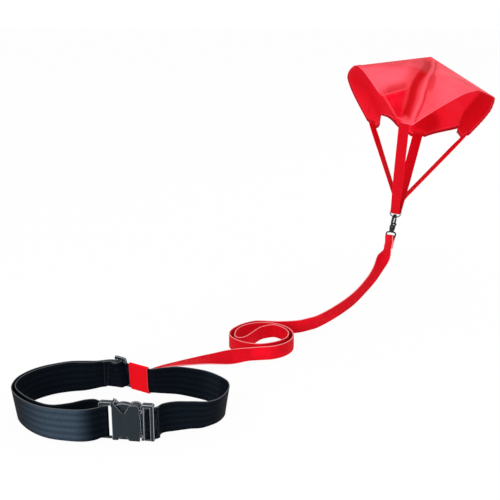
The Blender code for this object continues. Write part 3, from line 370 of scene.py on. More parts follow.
def walked_to(x, y):
    """How far along the webbing its nearest point to a place in plan lies."""
    return float(belt_walk[np.argmin(np.hypot(belt_points[:, 0] - x, belt_points[:, 1] - y))])


def painted_shine(strength, *places):
    """A stretch that is painted paler as a sheen: where it starts, is full, fades and ends, and how
    strongly.
    """
    return (*(walked_to(x, y) for x, y in places), strength)


# Painted sheen on the belt: paler stretches on the front-left run, the right side and the bend at the back,
# where highlights fall.
painted_sheen_front = painted_shine(7.0, (-151.5, -18.0), (-84.0, -73.5), (-60.0, -78.0), (-27.0, -74.5))
painted_sheen_right = painted_shine(0.2, (70.0, -56.0), (100.0, -47.0), (132.0, -44.0), (149.0, -31.0))
painted_sheen_bend = painted_shine(0.7, (153.0, 27.0), (147.0, 34.0), (138.0, 43.0), (110.0, 59.5))
webbing_black = woven("webbing_black", BELT_BLACK, BELT_PALE, BELT_WIDTH / 2, BELT_RIB, BELT_PICK, BELT_BAND,
                      roughness=0.4, shine=0.3, ior=1.08, lift=0.09,
                      painted_sheen=(painted_sheen_front, painted_sheen_right, painted_sheen_bend))
belt_widths = np.column_stack([belt_route[:, 3:5], np.full(len(belt_route), BELT_WIDTH / 2)])
belt = ribbon("waist_webbing", belt_points, belt_widths, BELT_WIDTH, BELT_THICK, webbing_black)
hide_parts("belt_webbing")
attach(belt, "belt")


def along_line(points, normals, step):
    """Even places on a line, with their directions and the surface's normals."""
    points, normals = np.asarray(points, float), np.asarray(normals, float)
    walked = np.concatenate([[0.0], np.cumsum(np.linalg.norm(np.diff(points, axis=0), axis=1))])
    places = np.arange(step / 2, walked[-1], step)
    centres = np.stack([np.interp(places, walked, points[:, k]) for k in range(3)], -1)
    later = np.stack([np.interp(places + 0.1, walked, points[:, k]) for k in range(3)], -1)
    earlier = np.stack([np.interp(places - 0.1, walked, points[:, k]) for k in range(3)], -1)
    out = np.stack([np.interp(places, walked, normals[:, k]) for k in range(3)], -1)
    return centres, unit(later - earlier), unit(out)


def stitches(name, lines, thread, body, radius=0.32, step=3.2, length=2.5):
    """Lockstitches along lines: each is a short thread of five sides whose rings swell from its ends
    to its full radius, laid on the surface."""
    parts = [along_line(points, normals, step) for points, normals in lines]
    centres, ahead, out = (np.vstack([part[k] for part in parts]) for k in range(3))
    aside = np.cross(ahead, out)
    lengthwise = np.array([-0.5, -0.3, 0.3, 0.5]) * length
    swell = np.array([0.35, 1.0, 1.0, 0.35]) * radius
    turn = np.arange(5) * 2 * pi / 5
    round_it = out[:, None] * np.cos(turn)[:, None] + aside[:, None] * np.sin(turn)[:, None]
    points = (centres[:, None, None] + ahead[:, None, None] * lengthwise[:, None, None]
              + round_it[:, None] * swell[:, None, None])
    corner = np.arange(20).reshape(4, 5)
    sides = np.stack([corner[:-1], np.roll(corner[:-1], -1, 1), np.roll(corner[1:], -1, 1), corner[1:]], -1)
    start = np.arange(len(centres))[:, None, None] * 20
    faces = (sides.reshape(1, -1, 4) + start).reshape(-1, 4).tolist()
    faces += (np.stack([corner[0], corner[-1]])[None] + start).reshape(-1, 5).tolist()
    uv = np.zeros((len(centres) * 20, 2))
    made = mesh_piece(name, points.reshape(-1, 3), faces, uv, thread, 60.0)
    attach(made, body)
    return made


def on_tape(points, widths, thick, face, corners):
    """Sewing lines on one face of a tape, between corners given as distances along and across it."""
    ahead = unit(np.gradient(points, axis=0))
    widths = unit(widths - ahead * (widths * ahead).sum(1, keepdims=True))
    walked = np.concatenate([[0.0], np.cumsum(np.linalg.norm(np.diff(points, axis=0), axis=1))])
    lines = []
    for (along_a, across_a), (along_b, across_b) in corners:
        along, across = np.linspace(along_a, along_b, 12), np.linspace(across_a, across_b, 12)
        place, side, forward = (np.stack([np.interp(along, walked, values[:, k]) for k in range(3)], -1)
                                for values in (points, widths, ahead))
        normal = np.cross(forward, side) * face
        lines.append((place + side * across[:, None] + normal * (thick / 2 + 0.05), normal))
    return lines


def box_stitch(start, end, reach):
    """A box with crossed diagonals, as corner pairs along and across a tape."""
    a, b, c, d = (start, -reach), (start, reach), (end, reach), (end, -reach)
    return [(a, b), (b, c), (c, d), (d, a), (a, c), (b, d)]


def thread_finish(name, colour, light):
    """Twisted thread: a plain colour that varies a little from stitch to stitch."""
    yarn = Finish(name, {"Roughness": 0.5, "Specular IOR Level": 0.2})
    yarn.feed("Base Color", yarn.mix(yarn.noise(2.5, 1.0) * 0.5 + 0.5, colour, light))
    return yarn.material


black_thread = thread_finish("black_thread", (0.010, 0.013, 0.018), (0.045, 0.052, 0.062))
belt_end = belt_walk[-1]
lap_lines = on_tape(belt_points, belt_widths, BELT_THICK, LAP_FACE, box_stitch(2.5, 10.5, 21.0))
lap_lines += on_tape(belt_points, belt_widths, BELT_THICK, GLIDE_LAP_FACE,
                     [((belt_end - inset, -22.0), (belt_end - inset, 22.0)) for inset in (3.0, 9.0)])
belt_stitches = stitches("belt_stitches", lap_lines, black_thread, "belt")


# Tri-glide. A flat frame moulded in black acetal with a centre bar. The webbing's sewn end holds
# the bar, and the outer layer passes over it, so the belt's length can be set.

PLASTIC_DARK = (0.0010, 0.0055, 0.0095)
PLASTIC_PALE = (0.0075, 0.0210, 0.0310)


def moulded(name, dark, pale, roughness):
    """Moulded plastic: a fine orange-peel texture, faint flow marks and a rubbed, uneven shine."""
    body = Finish(name, {"Specular IOR Level": 0.3})
    flow = body.noise(9.0, 4.0, 0.55, (1.0, 1.0, 0.35)) * 0.5 + 0.5
    grain = body.noise(0.35, 2.0) * 0.5 + 0.5
    body.feed("Base Color", body.mix(flow * 0.5, dark, pale))
    body.feed("Roughness", roughness + flow * 0.12 + grain * 0.05)
    body.bump(grain * 0.8 + flow * 0.2, 0.02)
    return body.material


def finished(node, finish, bevel=0.0, painted_shine=None):
    """Gives a solid its material, welds its faces and rounds its edges, which get a second, paler material
    as a painted highlight.
    """
    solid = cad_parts[node]
    solid.data.materials.clear()
    solid.data.materials.append(finish)
    if painted_shine:
        solid.data.materials.append(painted_shine)
    weld = solid.modifiers.new("weld", "WELD")
    weld.merge_threshold = 0.00001
    if bevel:
        edge = solid.modifiers.new("edges", "BEVEL")
        edge.width = bevel * MM
        edge.segments = 2
        edge.material = 1 if painted_shine else -1
        edge.limit_method = "ANGLE"
        edge.angle_limit = radians(30)
        edge.use_clamp_overlap = False
    solid.data.polygons.foreach_set("use_smooth", np.ones(len(solid.data.polygons), bool))
    split = solid.modifiers.new("split", "EDGE_SPLIT")
    split.split_angle = radians(35)


# The paler grey below colours the rounded edges of the plastic parts as a painted highlight.
EDGE_DARK = (0.26, 0.28, 0.31)
EDGE_PALE = (0.74, 0.76, 0.80)
PLASTIC_ROUND = 0.5

plastic = moulded("acetal_black", PLASTIC_DARK, PLASTIC_PALE, 0.28)
plastic_edge_highlight = moulded("acetal_edge_highlight", EDGE_DARK, EDGE_PALE, 0.2)
finished("tri_glide", plastic, PLASTIC_ROUND, plastic_edge_highlight)


# Buckle socket. A hollow moulding with an open mouth, scooped sides and a bar for the webbing, in
# the same acetal.

finished("buckle_socket", plastic, PLASTIC_ROUND, plastic_edge_highlight)


# Buckle plug and prongs. The plug's frame carries the belt's sewn lap and a guide tongue, and two
# springy prongs grow from it and latch behind the socket's windows.

finished("buckle_plug", plastic, PLASTIC_ROUND, plastic_edge_highlight)
finished("buckle_prong_upper", plastic, PLASTIC_ROUND, plastic_edge_highlight)
finished("buckle_prong_lower", plastic, PLASTIC_ROUND, plastic_edge_highlight)


# Tow loop. A band of 36 mm red tape sewn round the webbing at the back, where the tow strap starts.
# Its upper edge is pulled a little to one side.

LOOP_WIDTH = 36.0
LOOP_THICK = 1.5
LOOP_SKEW = 4.6
RED_DARK = (0.42, 0.0002, 0.0020)
RED_PALE = (0.93, 0.0030, 0.0190)
LOOP_DARK = (0.90, 0.0002, 0.0040)
LOOP_PALE = (1.0, 0.0030, 0.0180)

# The loop tape's edges are painted paler as a highlight, by the default lift.
red_loop_tape = woven("red_loop_tape", LOOP_DARK, LOOP_PALE, LOOP_WIDTH / 2, 1.3, 1.2)

loop_half = BELT_THICK / 2 + GAP + 0.15 + LOOP_THICK / 2
loop_reach = BELT_WIDTH / 2 - 0.4
loop_flat = np.linspace(-loop_reach, loop_reach, 25)[1:-1]
loop_ring = [(loop_half, z) for z in loop_flat] + arc((0.0, loop_reach), loop_half, 0, 180, 13)
loop_ring += [(-loop_half, z) for z in loop_flat[::-1]] + arc((0.0, -loop_reach), loop_half, 180, 360, 13)
loop_ring = np.array(loop_ring)
loop_skew = LOOP_SKEW * np.clip(loop_ring[:, 1:] / loop_reach + 0.6, 0.0, 2.0)
loop_line = LOOP_CENTRE + loop_ring[:, :1] * loop_out + loop_ring[:, 1:] * loop_up - loop_skew * loop_along
ring_ahead = unit(np.roll(loop_line, -1, axis=0) - np.roll(loop_line, 1, axis=0))
ring_out = np.cross(ring_ahead, loop_along)
loop_section = slot_outline(LOOP_WIDTH, LOOP_THICK)
loop_grid = (loop_line[:, None] + loop_along * loop_section[None, :, :1]
             + ring_out[:, None] * loop_section[None, :, 1:])
loop_walk = np.arange(len(loop_line)) * 2.0
loop_uv = np.stack(np.broadcast_arrays(loop_section[None, :, 0], loop_walk[:, None]), -1)
loop_grid = np.concatenate([loop_grid, loop_grid[:1]])
loop_uv = np.concatenate([loop_uv, loop_uv[:1]])
tow_loop = grid_piece("tow_loop_tape", loop_grid, loop_uv, red_loop_tape, wrap=True)
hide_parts("tow_loop")
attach(tow_loop, "belt")


# Tow strap. One free length of 25 mm red tape. It leaves the loop flat, turns on edge and lies on
# the floor in a double loop, then rises, turning again, goes round the swivel eye's bar and is sewn
# back on itself.

TOW_WIDTH = 25.0
TOW_THICK = 2.0
COIL_CENTRE = (216.0, 259.0)
COIL_HEIGHT = -12.5
RING_POS = np.array([481.0, 517.0, 149.0])
LEAN_RIGHT = radians(13.5)
LEAN_BACK = radians(18.7)
EYE_TURN = radians(-61.0)
EYE_BAR_Z = -50.5
EYE_WIRE = 1.5
TOW_END_Z = -64.0
TOW_LAP_FACE = 1.0
ARM_IN_RADII = (57.0, 56.0, 53.0, 46.5)
ARM_OUT_RADII = (48.0, 48.5, 46.0, 41.5, 44.0, 48.5, 56.0, 56.0, 61.5)
COIL_POINTS_PER_TURN = 24

towing = unit((tan(LEAN_RIGHT), tan(LEAN_BACK), 1.0))
right_of_towing = unit(np.array([1.0, 0.0, 0.0]) - towing * towing[0])
back_of_towing = np.cross(towing, right_of_towing)
upward = np.array([0.0, 0.0, 1.0])
eye_bar = right_of_towing * cos(EYE_TURN) + back_of_towing * sin(EYE_TURN)
eye_face = np.cross(towing, eye_bar)


def arm(start, end, radii):
    """One arm of the double loop: its radius eases through the given values at even angles."""
    count = round(abs(end - start) / 360 * COIL_POINTS_PER_TURN) + 1
    angles = np.radians(np.linspace(start, end, count))
    knots = np.column_stack([np.linspace(0, 100, len(radii)), np.zeros(len(radii)), radii])
    eased = smooth(knots, 1.0)
    reach = np.interp(np.linspace(0, 100, count), eased[:, 0], eased[:, 2])
    return [(COIL_CENTRE[0] + r * cos(a), COIL_CENTRE[1] + r * sin(a), COIL_HEIGHT, 0.0)
            for r, a in zip(reach, angles)]


def floor_points(*plan):
    """Rows of the strap standing on edge on the floor."""
    return [(x, y, COIL_HEIGHT, 0.0) for x, y in plan]


def eye_row(z):
    """A row of the strap on the towing axis, with its width along the bar of the eye."""
    upright = unit(upward - towing * towing[2])
    turn = degrees(atan2(eye_bar @ np.cross(towing, upright), eye_bar @ upright))
    return (*(RING_POS + towing * z), turn % 180.0 - 180.0)


loop_exit = LOOP_CENTRE + loop_out * (loop_half + LOOP_THICK / 2 + GAP)
tow_rows = [(*loop_exit, -95.0), (*(loop_exit + loop_out * 9.0 - upward * 0.5), -104.0),
            (36.0, 111.0, -2.0, -111.0), (55.0, 130.0, -4.0, -107.0), (85.0, 150.0, -7.0, -95.0),
            (121.0, 171.0, -10.5, -77.0), (144.0, 180.5, -12.0, -58.0), (168.0, 189.0, -12.5, -24.0),
            (191.0, 197.5, -12.5, 0.0)]
tow_rows += arm(-90.0, 172.0, ARM_IN_RADII)
tow_rows += floor_points((169.5, 255.0), (171.5, 246.5), (177.0, 242.5), (184.0, 244.0), (190.5, 250.5),
                         (197.0, 261.0), (208.0, 280.0), (217.0, 292.0))
tow_rows += arm(62.0, -262.0, ARM_OUT_RADII)
tow_rows += floor_points((250.0, 317.0), (284.0, 322.0), (303.0, 333.0))
tow_rows += [(317.0, 342.5, -12.3, 0.0), (354.0, 376.0, -6.0, 0.0), (390.0, 408.0, 7.0, 0.0),
             (415.0, 433.0, 22.5, -1.0), (434.5, 454.5, 38.5, -12.0), (450.5, 476.0, 58.0, -40.0)]
tow_rows += [eye_row(TOW_END_Z - 12.0), eye_row(TOW_END_Z - 5.0), eye_row(TOW_END_Z)]
tow_route = smooth(tow_rows, 2.0)

ahead = unit(np.gradient(tow_route[:, :3], axis=0))
upright = unit(upward - ahead * ahead[:, 2:3])
turn = np.radians(tow_route[:, 3:4])
tow_widths = upright * np.cos(turn) + np.cross(ahead, upright) * np.sin(turn)

end_turn = EYE_WIRE + GAP + TOW_THICK / 2 + 0.1
end_rows = [(0.0, TOW_END_Z + 1.0), (-0.3, -60.5), (-1.6, -56.0)]
end_rows += arc((0.0, EYE_BAR_Z), end_turn, 200, -20, 9)
end_rows += [(2.6, -55.5), (2.15, -59.0), (2.1, -63.0), (2.1, -73.5)]
end_rows = smooth([(0.0, y, z) for y, z in end_rows], 1.0)
end_points = RING_POS + end_rows[:, 1:2] * eye_face + end_rows[:, 2:3] * towing
end_widths = np.tile(eye_bar * np.sign(eye_bar @ tow_widths[-1]), (len(end_points), 1))

tow_points = np.vstack([tow_route[:, :3], end_points])
tow_widths = np.vstack([tow_widths, end_widths])
# The tow strap's edges are painted paler as a highlight, and random blotches along it are painted paler as
# highlights.
red_tow_tape = woven("red_tow_tape", RED_DARK, RED_PALE, TOW_WIDTH / 2, 1.25, 1.2, lift=0.30,
                     glow=0.5)
tow_strap = ribbon("tow_strap", tow_points, tow_widths, TOW_WIDTH, TOW_THICK, red_tow_tape)
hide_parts("tow_strap_run", "tow_coil", "tow_strap_rise", "tow_strap_end")
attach(tow_strap, "belt")
loop_exit * MM


red_thread = thread_finish("red_thread", (0.75, 0.010, 0.030), (1.0, 0.16, 0.20))
strap_end = np.linalg.norm(np.diff(tow_points, axis=0), axis=1).sum()
tow_end_box = box_stitch(strap_end - 11.5, strap_end - 2.0, 9.5)
tow_end_lines = on_tape(tow_points, tow_widths, TOW_THICK, TOW_LAP_FACE, tow_end_box)
tow_stitches = stitches("tow_end_stitches", tow_end_lines, red_thread, "belt")


# Swivel eye. A wire eye, wide enough for the strap, with a collar and a post on which the hook
# turns. It is cast and coated black.

METAL_DARK = (0.0015, 0.0020, 0.0025)
METAL_PALE = (0.014, 0.016, 0.018)


def coated(name, dark, pale, metallic, roughness, shine=0.6):
    """Coated metal: a thin glossy coat with small ripples, worn brighter in faint blotches."""
    body = Finish(name, {"Metallic": metallic, "Specular IOR Level": shine})
    wear = body.noise(4.0, 5.0, 0.6).between(0.25, 0.7)
    ripple = body.noise(0.8, 3.0) * 0.5 + 0.5
    body.feed("Base Color", body.mix(wear * 0.6, dark, pale))
    body.feed("Roughness", roughness + ripple * 0.1 + wear * 0.1)
    body.bump(ripple, 0.015)
    return body.material


black_coat = coated("black_coat", METAL_DARK, METAL_PALE, 0.0, 0.2, 0.3)
finished("swivel_eye", black_coat, 0.0)


# Snap hook. A cast bow over a barrel that turns on the swivel's post, with a fork for the gate, in
# the same black coat as the eye.

finished("hook_body", black_coat, 0.0)


# Gate and its pin. A sprung lever closes the hook up to its nose, and turns on a plated pin that is
# pressed through the fork.

finished("hook_gate", black_coat, 0.0)
bright_plate = coated("bright_plate", (0.16, 0.165, 0.18), (0.42, 0.43, 0.45), 1.0, 0.22)
finished("gate_pin", bright_plate, 0.0)


# D-ring. A ring of plated wire. The hook's bow holds its round side, and the two canopy straps pass
# round its straight bar.

finished("d_ring", bright_plate, 0.0)


# Canopy. One 353 mm square of thin coated nylon, hemmed all round. The water's push makes it a
# shallow cone, and the straps pull its four corners down and in.

CANOPY_SIDE = 353.0
HALF_SIDE = CANOPY_SIDE / 2
CANOPY_THICK = 0.8
HEM_WIDTH = 9.0
HEM_THICK = 1.6
APEX_HEIGHT = 310.6
FOLD_AT = 117.9
FOLD_LENGTH = 35.2
DIRECTIONS = (-108.7, -59.8, -11.7, 31.9, 73.1, 113.7, 159.8, -150.0)
SLOPES = (24.8, 25.0, 24.8, 25.5, 24.8, 39.0, 24.8, 22.2)
FOLD_ANGLES = (75.3, 98.2, 99.6, 90.3)
FOLD_SPREAD = -0.66
FOLD_TILTS = (0.01, 0.39, -0.13, -0.16)
FLAP_TURNS = (-2.9, 75.5, -3.0, -18.5)
TILT_REACH = 90.0
CORNER_CUT = 17.0
CORNER_START = 195.0
SHEET_END = HALF_SIDE * 2 ** 0.5 - CORNER_CUT
CORNERS = ((1, 0), (0, 1), (-1, 0), (0, -1))
# The deep red below is painted shade for the folds and the light red a painted highlight; the middle red is
# the cloth's own.
CLOTH_PAINTED_SHADE = (0.56, 0.0002, 0.0035)
CLOTH_RED = (0.86, 0.008, 0.026)
CLOTH_LIGHT = (1.0, 0.110, 0.150)
# The dark rim red below is painted shade for the hem band on the inner side.
RIM_RED = (0.32, 0.001, 0.006)
# The colour below is a painted glow on the inner side, standing in for light that comes through the cloth.
THROUGH_RED = (0.17, 0.0070, 0.0150)
CANOPY_CELLS = 200


def round_the_sheet(values, bearing):
    """Smooth value at a bearing, through values given every 45 degrees of it."""
    values = np.array(values)
    place = np.degrees(bearing) / 45.0 % 8
    index = np.floor(place).astype(int) % 8
    t = place - np.floor(place)
    a, b, c, d = (values[(index + k) % 8] for k in (-1, 0, 1, 2))
    return b + 0.5 * t * (c - a + t * (2 * a - 5 * b + 4 * c - d + t * (3 * (b - c) + d - a)))


def crown(toward_front, toward_right):
    """The cone-like crown: each sheet point at its distance from the apex, down its own slope."""
    reach = np.hypot(toward_front, toward_right)
    bearing = np.arctan2(toward_right, toward_front)
    base = DIRECTIONS[0] + 45.0 * np.arange(8)
    wander = [(d - b + 180.0) % 360.0 - 180.0 for d, b in zip(DIRECTIONS, base)]
    heading = radians(DIRECTIONS[0]) + bearing + np.radians(round_the_sheet(wander, bearing))
    slope = np.radians(round_the_sheet(SLOPES, bearing))
    out = reach * np.cos(slope)
    return np.stack([out * np.cos(heading), out * np.sin(heading), APEX_HEIGHT - reach * np.sin(slope)], -1)


def flap_heading(corner):
    """Direction in degrees in which a corner's flap folds over."""
    return DIRECTIONS[2 * corner] + FLAP_TURNS[corner]


def canopy_surface(toward_front, toward_right):
    """Crown plus folded corners: past the fold line, which may lie askew, a point goes on down a
    slope that steepens steadily over the fold's length, straight along the flap's own direction."""
    toward_front = np.asarray(toward_front, float)
    toward_right = np.asarray(toward_right, float)
    places = crown(toward_front, toward_right)
    samples = (np.arange(24) + 0.5) / 24
    for k, (fx, rx) in enumerate(CORNERS):
        along = toward_front * fx + toward_right * rx
        across = -toward_front * rx + toward_right * fx
        fold_at = FOLD_AT - FOLD_TILTS[k] * np.clip(across, -TILT_REACH, TILT_REACH)
        fold_at = np.maximum(fold_at, np.abs(across))
        past = np.maximum(along - fold_at, 0.0)
        held = np.minimum(along, fold_at)
        base = crown(held * fx - across * rx, held * rx + across * fx)
        bent = np.clip(past[..., None] * samples / FOLD_LENGTH, 0.0, 1.0)
        spread = 1.0 + FOLD_SPREAD * (across[..., None] / HALF_SIDE) ** 2
        slope = np.radians(SLOPES[2 * k] + FOLD_ANGLES[k] * bent * spread)
        out = past * np.cos(slope).mean(-1)
        down = past * np.sin(slope).mean(-1)
        heading = radians(flap_heading(k))
        folded = base + np.stack([out * cos(heading), out * sin(heading), -down], -1)
        chosen = (along > fold_at) & (along >= np.abs(across) - 1e-9)
        places[chosen] = folded[chosen]
    return places


def trimmed(toward_front, toward_right):
    """Sheet coordinates with each corner cut straight across where a strap is sewn. Near a corner the
    distances towards it are scaled so that its two edges end at the cut."""
    for fx, rx in CORNERS:
        along = toward_front * fx + toward_right * rx
        across = np.abs(-toward_front * rx + toward_right * fx)
        edge = np.maximum(HALF_SIDE * 2 ** 0.5 - across, CORNER_START + 1.0)
        limit = np.minimum(edge, SHEET_END)
        scale = (limit - CORNER_START) / (edge - CORNER_START)
        draw = np.maximum(along - CORNER_START, 0.0) * (1.0 - scale)
        toward_front = toward_front - draw * fx
        toward_right = toward_right - draw * rx
    return toward_front, toward_right


def bell(values, centre, half_width):
    """A smooth bump of height one about a centre: the square of a cosine."""
    return np.cos(np.clip((values - centre) / half_width, -1.0, 1.0) * pi / 2) ** 2


def ease(values, low, high):
    """0 up to the low value, 1 from the high one, eased between them."""
    t = np.clip((values - low) / (high - low), 0.0, 1.0)
    return t * t * (3 - 2 * t)


def fold_lines(toward_front, eased):
    """How far right of the front diagonal the groove, the ridge and the narrow valley run."""
    groove = (eased(toward_front, 0.0, 125.0) * 20.0 - eased(toward_front, 125.0, 170.0) * 11.0
              - eased(toward_front, 170.0, 233.0) * 6.0)
    ridge = groove + 8.0 + eased(toward_front, 110.0, 160.0) * 8.0 - eased(toward_front, 180.0, 225.0) * 4.0
    return groove, ridge, ridge + 6.5


def relief(toward_front, toward_right):
    """Soft folds in the cloth, in millimetres outwards: a groove from the apex to the front corner, a
    ridge and a narrow valley beside it, a crease across the front's left and puckers at its hem."""
    groove, ridge, valley = fold_lines(toward_front, ease)
    fades = ease(toward_front, 0.0, 50.0) * (1.0 - ease(toward_front, 215.0, 236.0))
    lift = (-4.5 * bell(toward_right, groove, 12.0) + 3.0 * bell(toward_right, ridge, 7.0)
            - 1.6 * bell(toward_right, valley, 4.0)) * fades
    crease = toward_front + 0.39 * toward_right - 167.0
    reach = bell(toward_right, -32.0, 34.0)
    lift += (1.8 * bell(crease, 3.0, 7.0) - 2.2 * bell(crease, -7.0, 10.0)) * reach
    hem = HALF_SIDE * 2 ** 0.5 - np.abs(toward_front) - np.abs(toward_right)
    low_front = ease(toward_front, 160.0, 190.0) * (1.0 - ease(toward_right, -20.0, 0.0))
    lift += (0.9 * np.sin((toward_front - toward_right) * 2 * pi / 16.0)
             * (1.0 - ease(hem, 0.0, 40.0)) * low_front)
    lift += 0.25 * np.sin((toward_front - toward_right) * 2 * pi / 14.0) * (1.0 - ease(hem, 0.0, 22.0))
    return lift


def canopy_side(toward_front, toward_right, lift):
    """Points at a height above the cloth's middle, on its outer side, in the world frame: the normal
    is the cross product of the surface's two slopes."""
    step = 0.5
    toward_front, toward_right = trimmed(np.asarray(toward_front, float), np.asarray(toward_right, float))
    lift = np.asarray(lift) + relief(toward_front, toward_right)
    middle = canopy_surface(toward_front, toward_right)
    slope_f, slope_r = (canopy_surface(toward_front + f, toward_right + r)
                        - canopy_surface(toward_front - f, toward_right - r)
                        for f, r in ((step, 0.0), (0.0, step)))
    normal = unit(np.cross(slope_f, slope_r))
    normal = normal * np.sign(normal[..., 2:].mean() + 1e-9)
    return to_world(middle + normal * lift[..., None]), normal


def to_world(places):
    """From the parachute's frame, whose third axis is the towing axis, to the world's."""
    return RING_POS + places @ np.stack([right_of_towing, back_of_towing, towing])


def coated_cloth(name, painted_shade_red, red, light):
    """Thin coated nylon: a fine ripstop grid, softly uneven colour and small puckers. Painted shade makes
    the cloth deeper red in its folds and painted highlights make it lighter on the ridge and in given
    patches; its outer rim has a painted highlight, its inner hem band painted shade inside a paler line
    along the seam, and its inner side has a painted glow that stands in for the light that comes through."""
    cloth = Finish(name, {"IOR": 1.14, "Specular IOR Level": 0.4, "Emission Strength": 1.0})
    across, along = cloth.across_along()
    toward_front = (across + along) * 0.5 ** 0.5
    toward_right = (across - along) * 0.5 ** 0.5
    groove, ridge, valley = fold_lines(toward_front, Signal.between)
    inner = cloth.add("ShaderNodeAttribute", {"attribute_name": "inner"}, {}, "Fac")
    outer = 1.0 - inner
    fades = toward_front.between(4.0, 50.0) * (1.0 - toward_front.between(222.0, 236.0)) * outer

    def patch(front, right, front_reach, right_reach, side=outer):
        """An oval patch about a place on one side of the sheet, soft from its middle outwards."""
        away = ((toward_front - front) / front_reach) ** 2.0 + ((toward_right - right) / right_reach) ** 2.0
        return (1.0 - away.between(0.1, 1.0)) * side

    grid = ((across * (2 * pi / 5.0)).sine() ** 8.0) + ((along * (2 * pi / 5.0)).sine() ** 8.0)
    pucker = cloth.noise(30.0, 2.0) * 0.5 + 0.5
    grain = cloth.noise(1.2, 2.0) * 0.5 + 0.5
    left = 1.0 - toward_right.between(-14.0, 2.0)
    crease = toward_front + toward_right * 0.39 - 167.0
    below = crease.between(-2.0, 3.0) * left
    # Painted light and shade: given patches are made lighter as highlights, and the cloth below the crease
    # and towards the far left is made darker as shade; the pucker noise and the grid are the cloth's own
    # tone.
    share = pucker.between(0.0, 1.0) * 0.25 + 0.42 + grid * 0.04
    share = share + patch(150.0, -62.0, 42.0, 75.0) * 0.4 + patch(120.0, 92.0, 90.0, 80.0) * 0.35
    share = share - below * 0.62 - patch(-20.0, -120.0, 130.0, 60.0) * 0.35
    colour = cloth.mix(share * outer, red, light)
    # Painted highlight along the ridge.
    colour = cloth.mix((1.0 - abs(toward_right - ridge).between(1.0, 5.5)) * fades * 0.9, colour, light)
    # Painted shade: the groove, the valley, the cloth below the crease, the crest and given patches are
    # mixed towards the deep red.
    dark = (1.0 - abs(toward_right - groove + 3.0).between(3.0, 16.0)) * fades * 0.95
    dark = dark.larger((1.0 - abs(toward_right - groove + 8.0).between(6.0, 34.0)) * fades * 0.4)
    dark = dark.larger((1.0 - abs(toward_right - valley).between(0.8, 3.0)) * fades * 0.6)
    dark = dark.larger(crease.between(-26.0, -5.0) * (1.0 - crease.between(-3.0, 0.0)) * left * outer
                       * toward_right.between(-75.0, -40.0) * 0.7)
    dark = dark.larger(patch(55.0, -8.0, 60.0, 26.0) * 0.45).larger(patch(30.0, 78.0, 26.0, 52.0) * 0.4)
    dark = dark.larger(patch(218.0, -22.0, 20.0, 16.0) * 0.5).larger(patch(147.0, 38.0, 24.0, 10.0) * 0.55)
    crest = (1.0 - abs(toward_front - 108.0).between(2.0, 20.0)) * toward_right.between(44.0, 96.0) * outer
    behind_crest = 1.0 - toward_front.between(124.0, 142.0)
    behind_crest = behind_crest * (1.0 - toward_right.between(-36.0, -20.0)) * outer
    dark = dark.larger(crest * 0.45).larger(behind_crest * 0.3)
    colour = cloth.mix(dark, colour, painted_shade_red)
    to_edge = HALF_SIDE - abs(across).larger(abs(along))
    seam_line = to_edge.between(4.4, 5.4) * (1.0 - to_edge.between(6.0, 7.0))
    colour = cloth.mix(seam_line * 0.5, colour, light)
    # Painted highlight on the outer rim, with painted shade on it at the low left.
    rim = (1.0 - to_edge.between(1.6, 3.2)) * outer
    low_left = toward_front.between(178.0, 194.0) * left
    colour = cloth.mix(rim * (1.0 - low_left) * 0.7, colour, light)
    colour = cloth.mix(rim * low_left * 0.85, colour, painted_shade_red)
    # Painted shade on the inner side: a fold line, the folded right and left flaps and the panel behind the
    # front strap are mixed towards the deep red; one given patch gets a painted highlight.
    fold = toward_front + (toward_right + 155.0) * 0.51 + 24.0
    shade = (1.0 - abs(fold).between(0.8, 2.6)) * (1.0 - toward_right.between(-145.0, -130.0)) * inner * 0.5
    shade = shade.larger(toward_right.between(112.0, 130.0) * inner * 0.8)
    shade = shade.larger((1.0 - abs(toward_right + 135.0).between(12.0, 70.0)) * inner * 0.4)
    shade = shade.larger(patch(-195.0, 8.0, 46.0, 44.0, inner) * 0.8)
    colour = cloth.mix(patch(-145.0, 66.0, 40.0, 34.0, inner) * 0.15, colour, light)
    colour = cloth.mix(shade, colour, painted_shade_red)
    # Painted shade: the hem band on the inner side is mixed towards the dark rim red.
    painted_edge = (1.0 - to_edge.between(3.4, 5.4)) * inner
    cloth.feed("Base Color", cloth.mix(painted_edge * 0.9, colour, RIM_RED))
    # Painted glow: the inner side gets an emission colour standing in for light coming through the cloth,
    # less on the painted shade and the hem band.
    through = inner * (1.0 - shade.larger(painted_edge) * 0.85)
    cloth.feed("Emission Color", cloth.mix(through, (0.0, 0.0, 0.0), THROUGH_RED))
    cloth.feed("Roughness", 0.5 + grain * 0.12)
    cloth.bump(pucker * 0.9 + grid * 0.05 + grain * 0.05, 0.6)
    return cloth.material


red_cloth = coated_cloth("red_cloth", CLOTH_PAINTED_SHADE, CLOTH_RED, CLOTH_LIGHT)

even = np.linspace(-HALF_SIDE, HALF_SIDE, CANOPY_CELLS + 1)
sheet_u, sheet_v = np.meshgrid(even, even, indexing="ij")
sheet_front, sheet_right = (sheet_u + sheet_v) / 2 ** 0.5, (sheet_u - sheet_v) / 2 ** 0.5
to_edge = HALF_SIDE - np.maximum(np.abs(sheet_u), np.abs(sheet_v))
half_thick = np.where(to_edge < HEM_WIDTH, HEM_THICK, CANOPY_THICK) / 2
upper, sheet_normal = canopy_side(sheet_front, sheet_right, half_thick)
lower = canopy_side(sheet_front, sheet_right, -half_thick)[0]
cells = CANOPY_CELLS + 1
index = np.arange(cells * cells).reshape(cells, cells)
quads = np.stack([index[:-1, :-1], index[:-1, 1:], index[1:, 1:], index[1:, :-1]], -1).reshape(-1, 4)
rim = np.concatenate([index[:-1, 0], index[-1, :-1], index[:0:-1, -1], index[0, :0:-1]])
walls = np.stack([rim, np.roll(rim, -1), np.roll(rim, -1) + cells * cells, rim + cells * cells], -1)
canopy_faces = np.vstack([quads, quads[:, ::-1] + cells * cells, walls]).tolist()
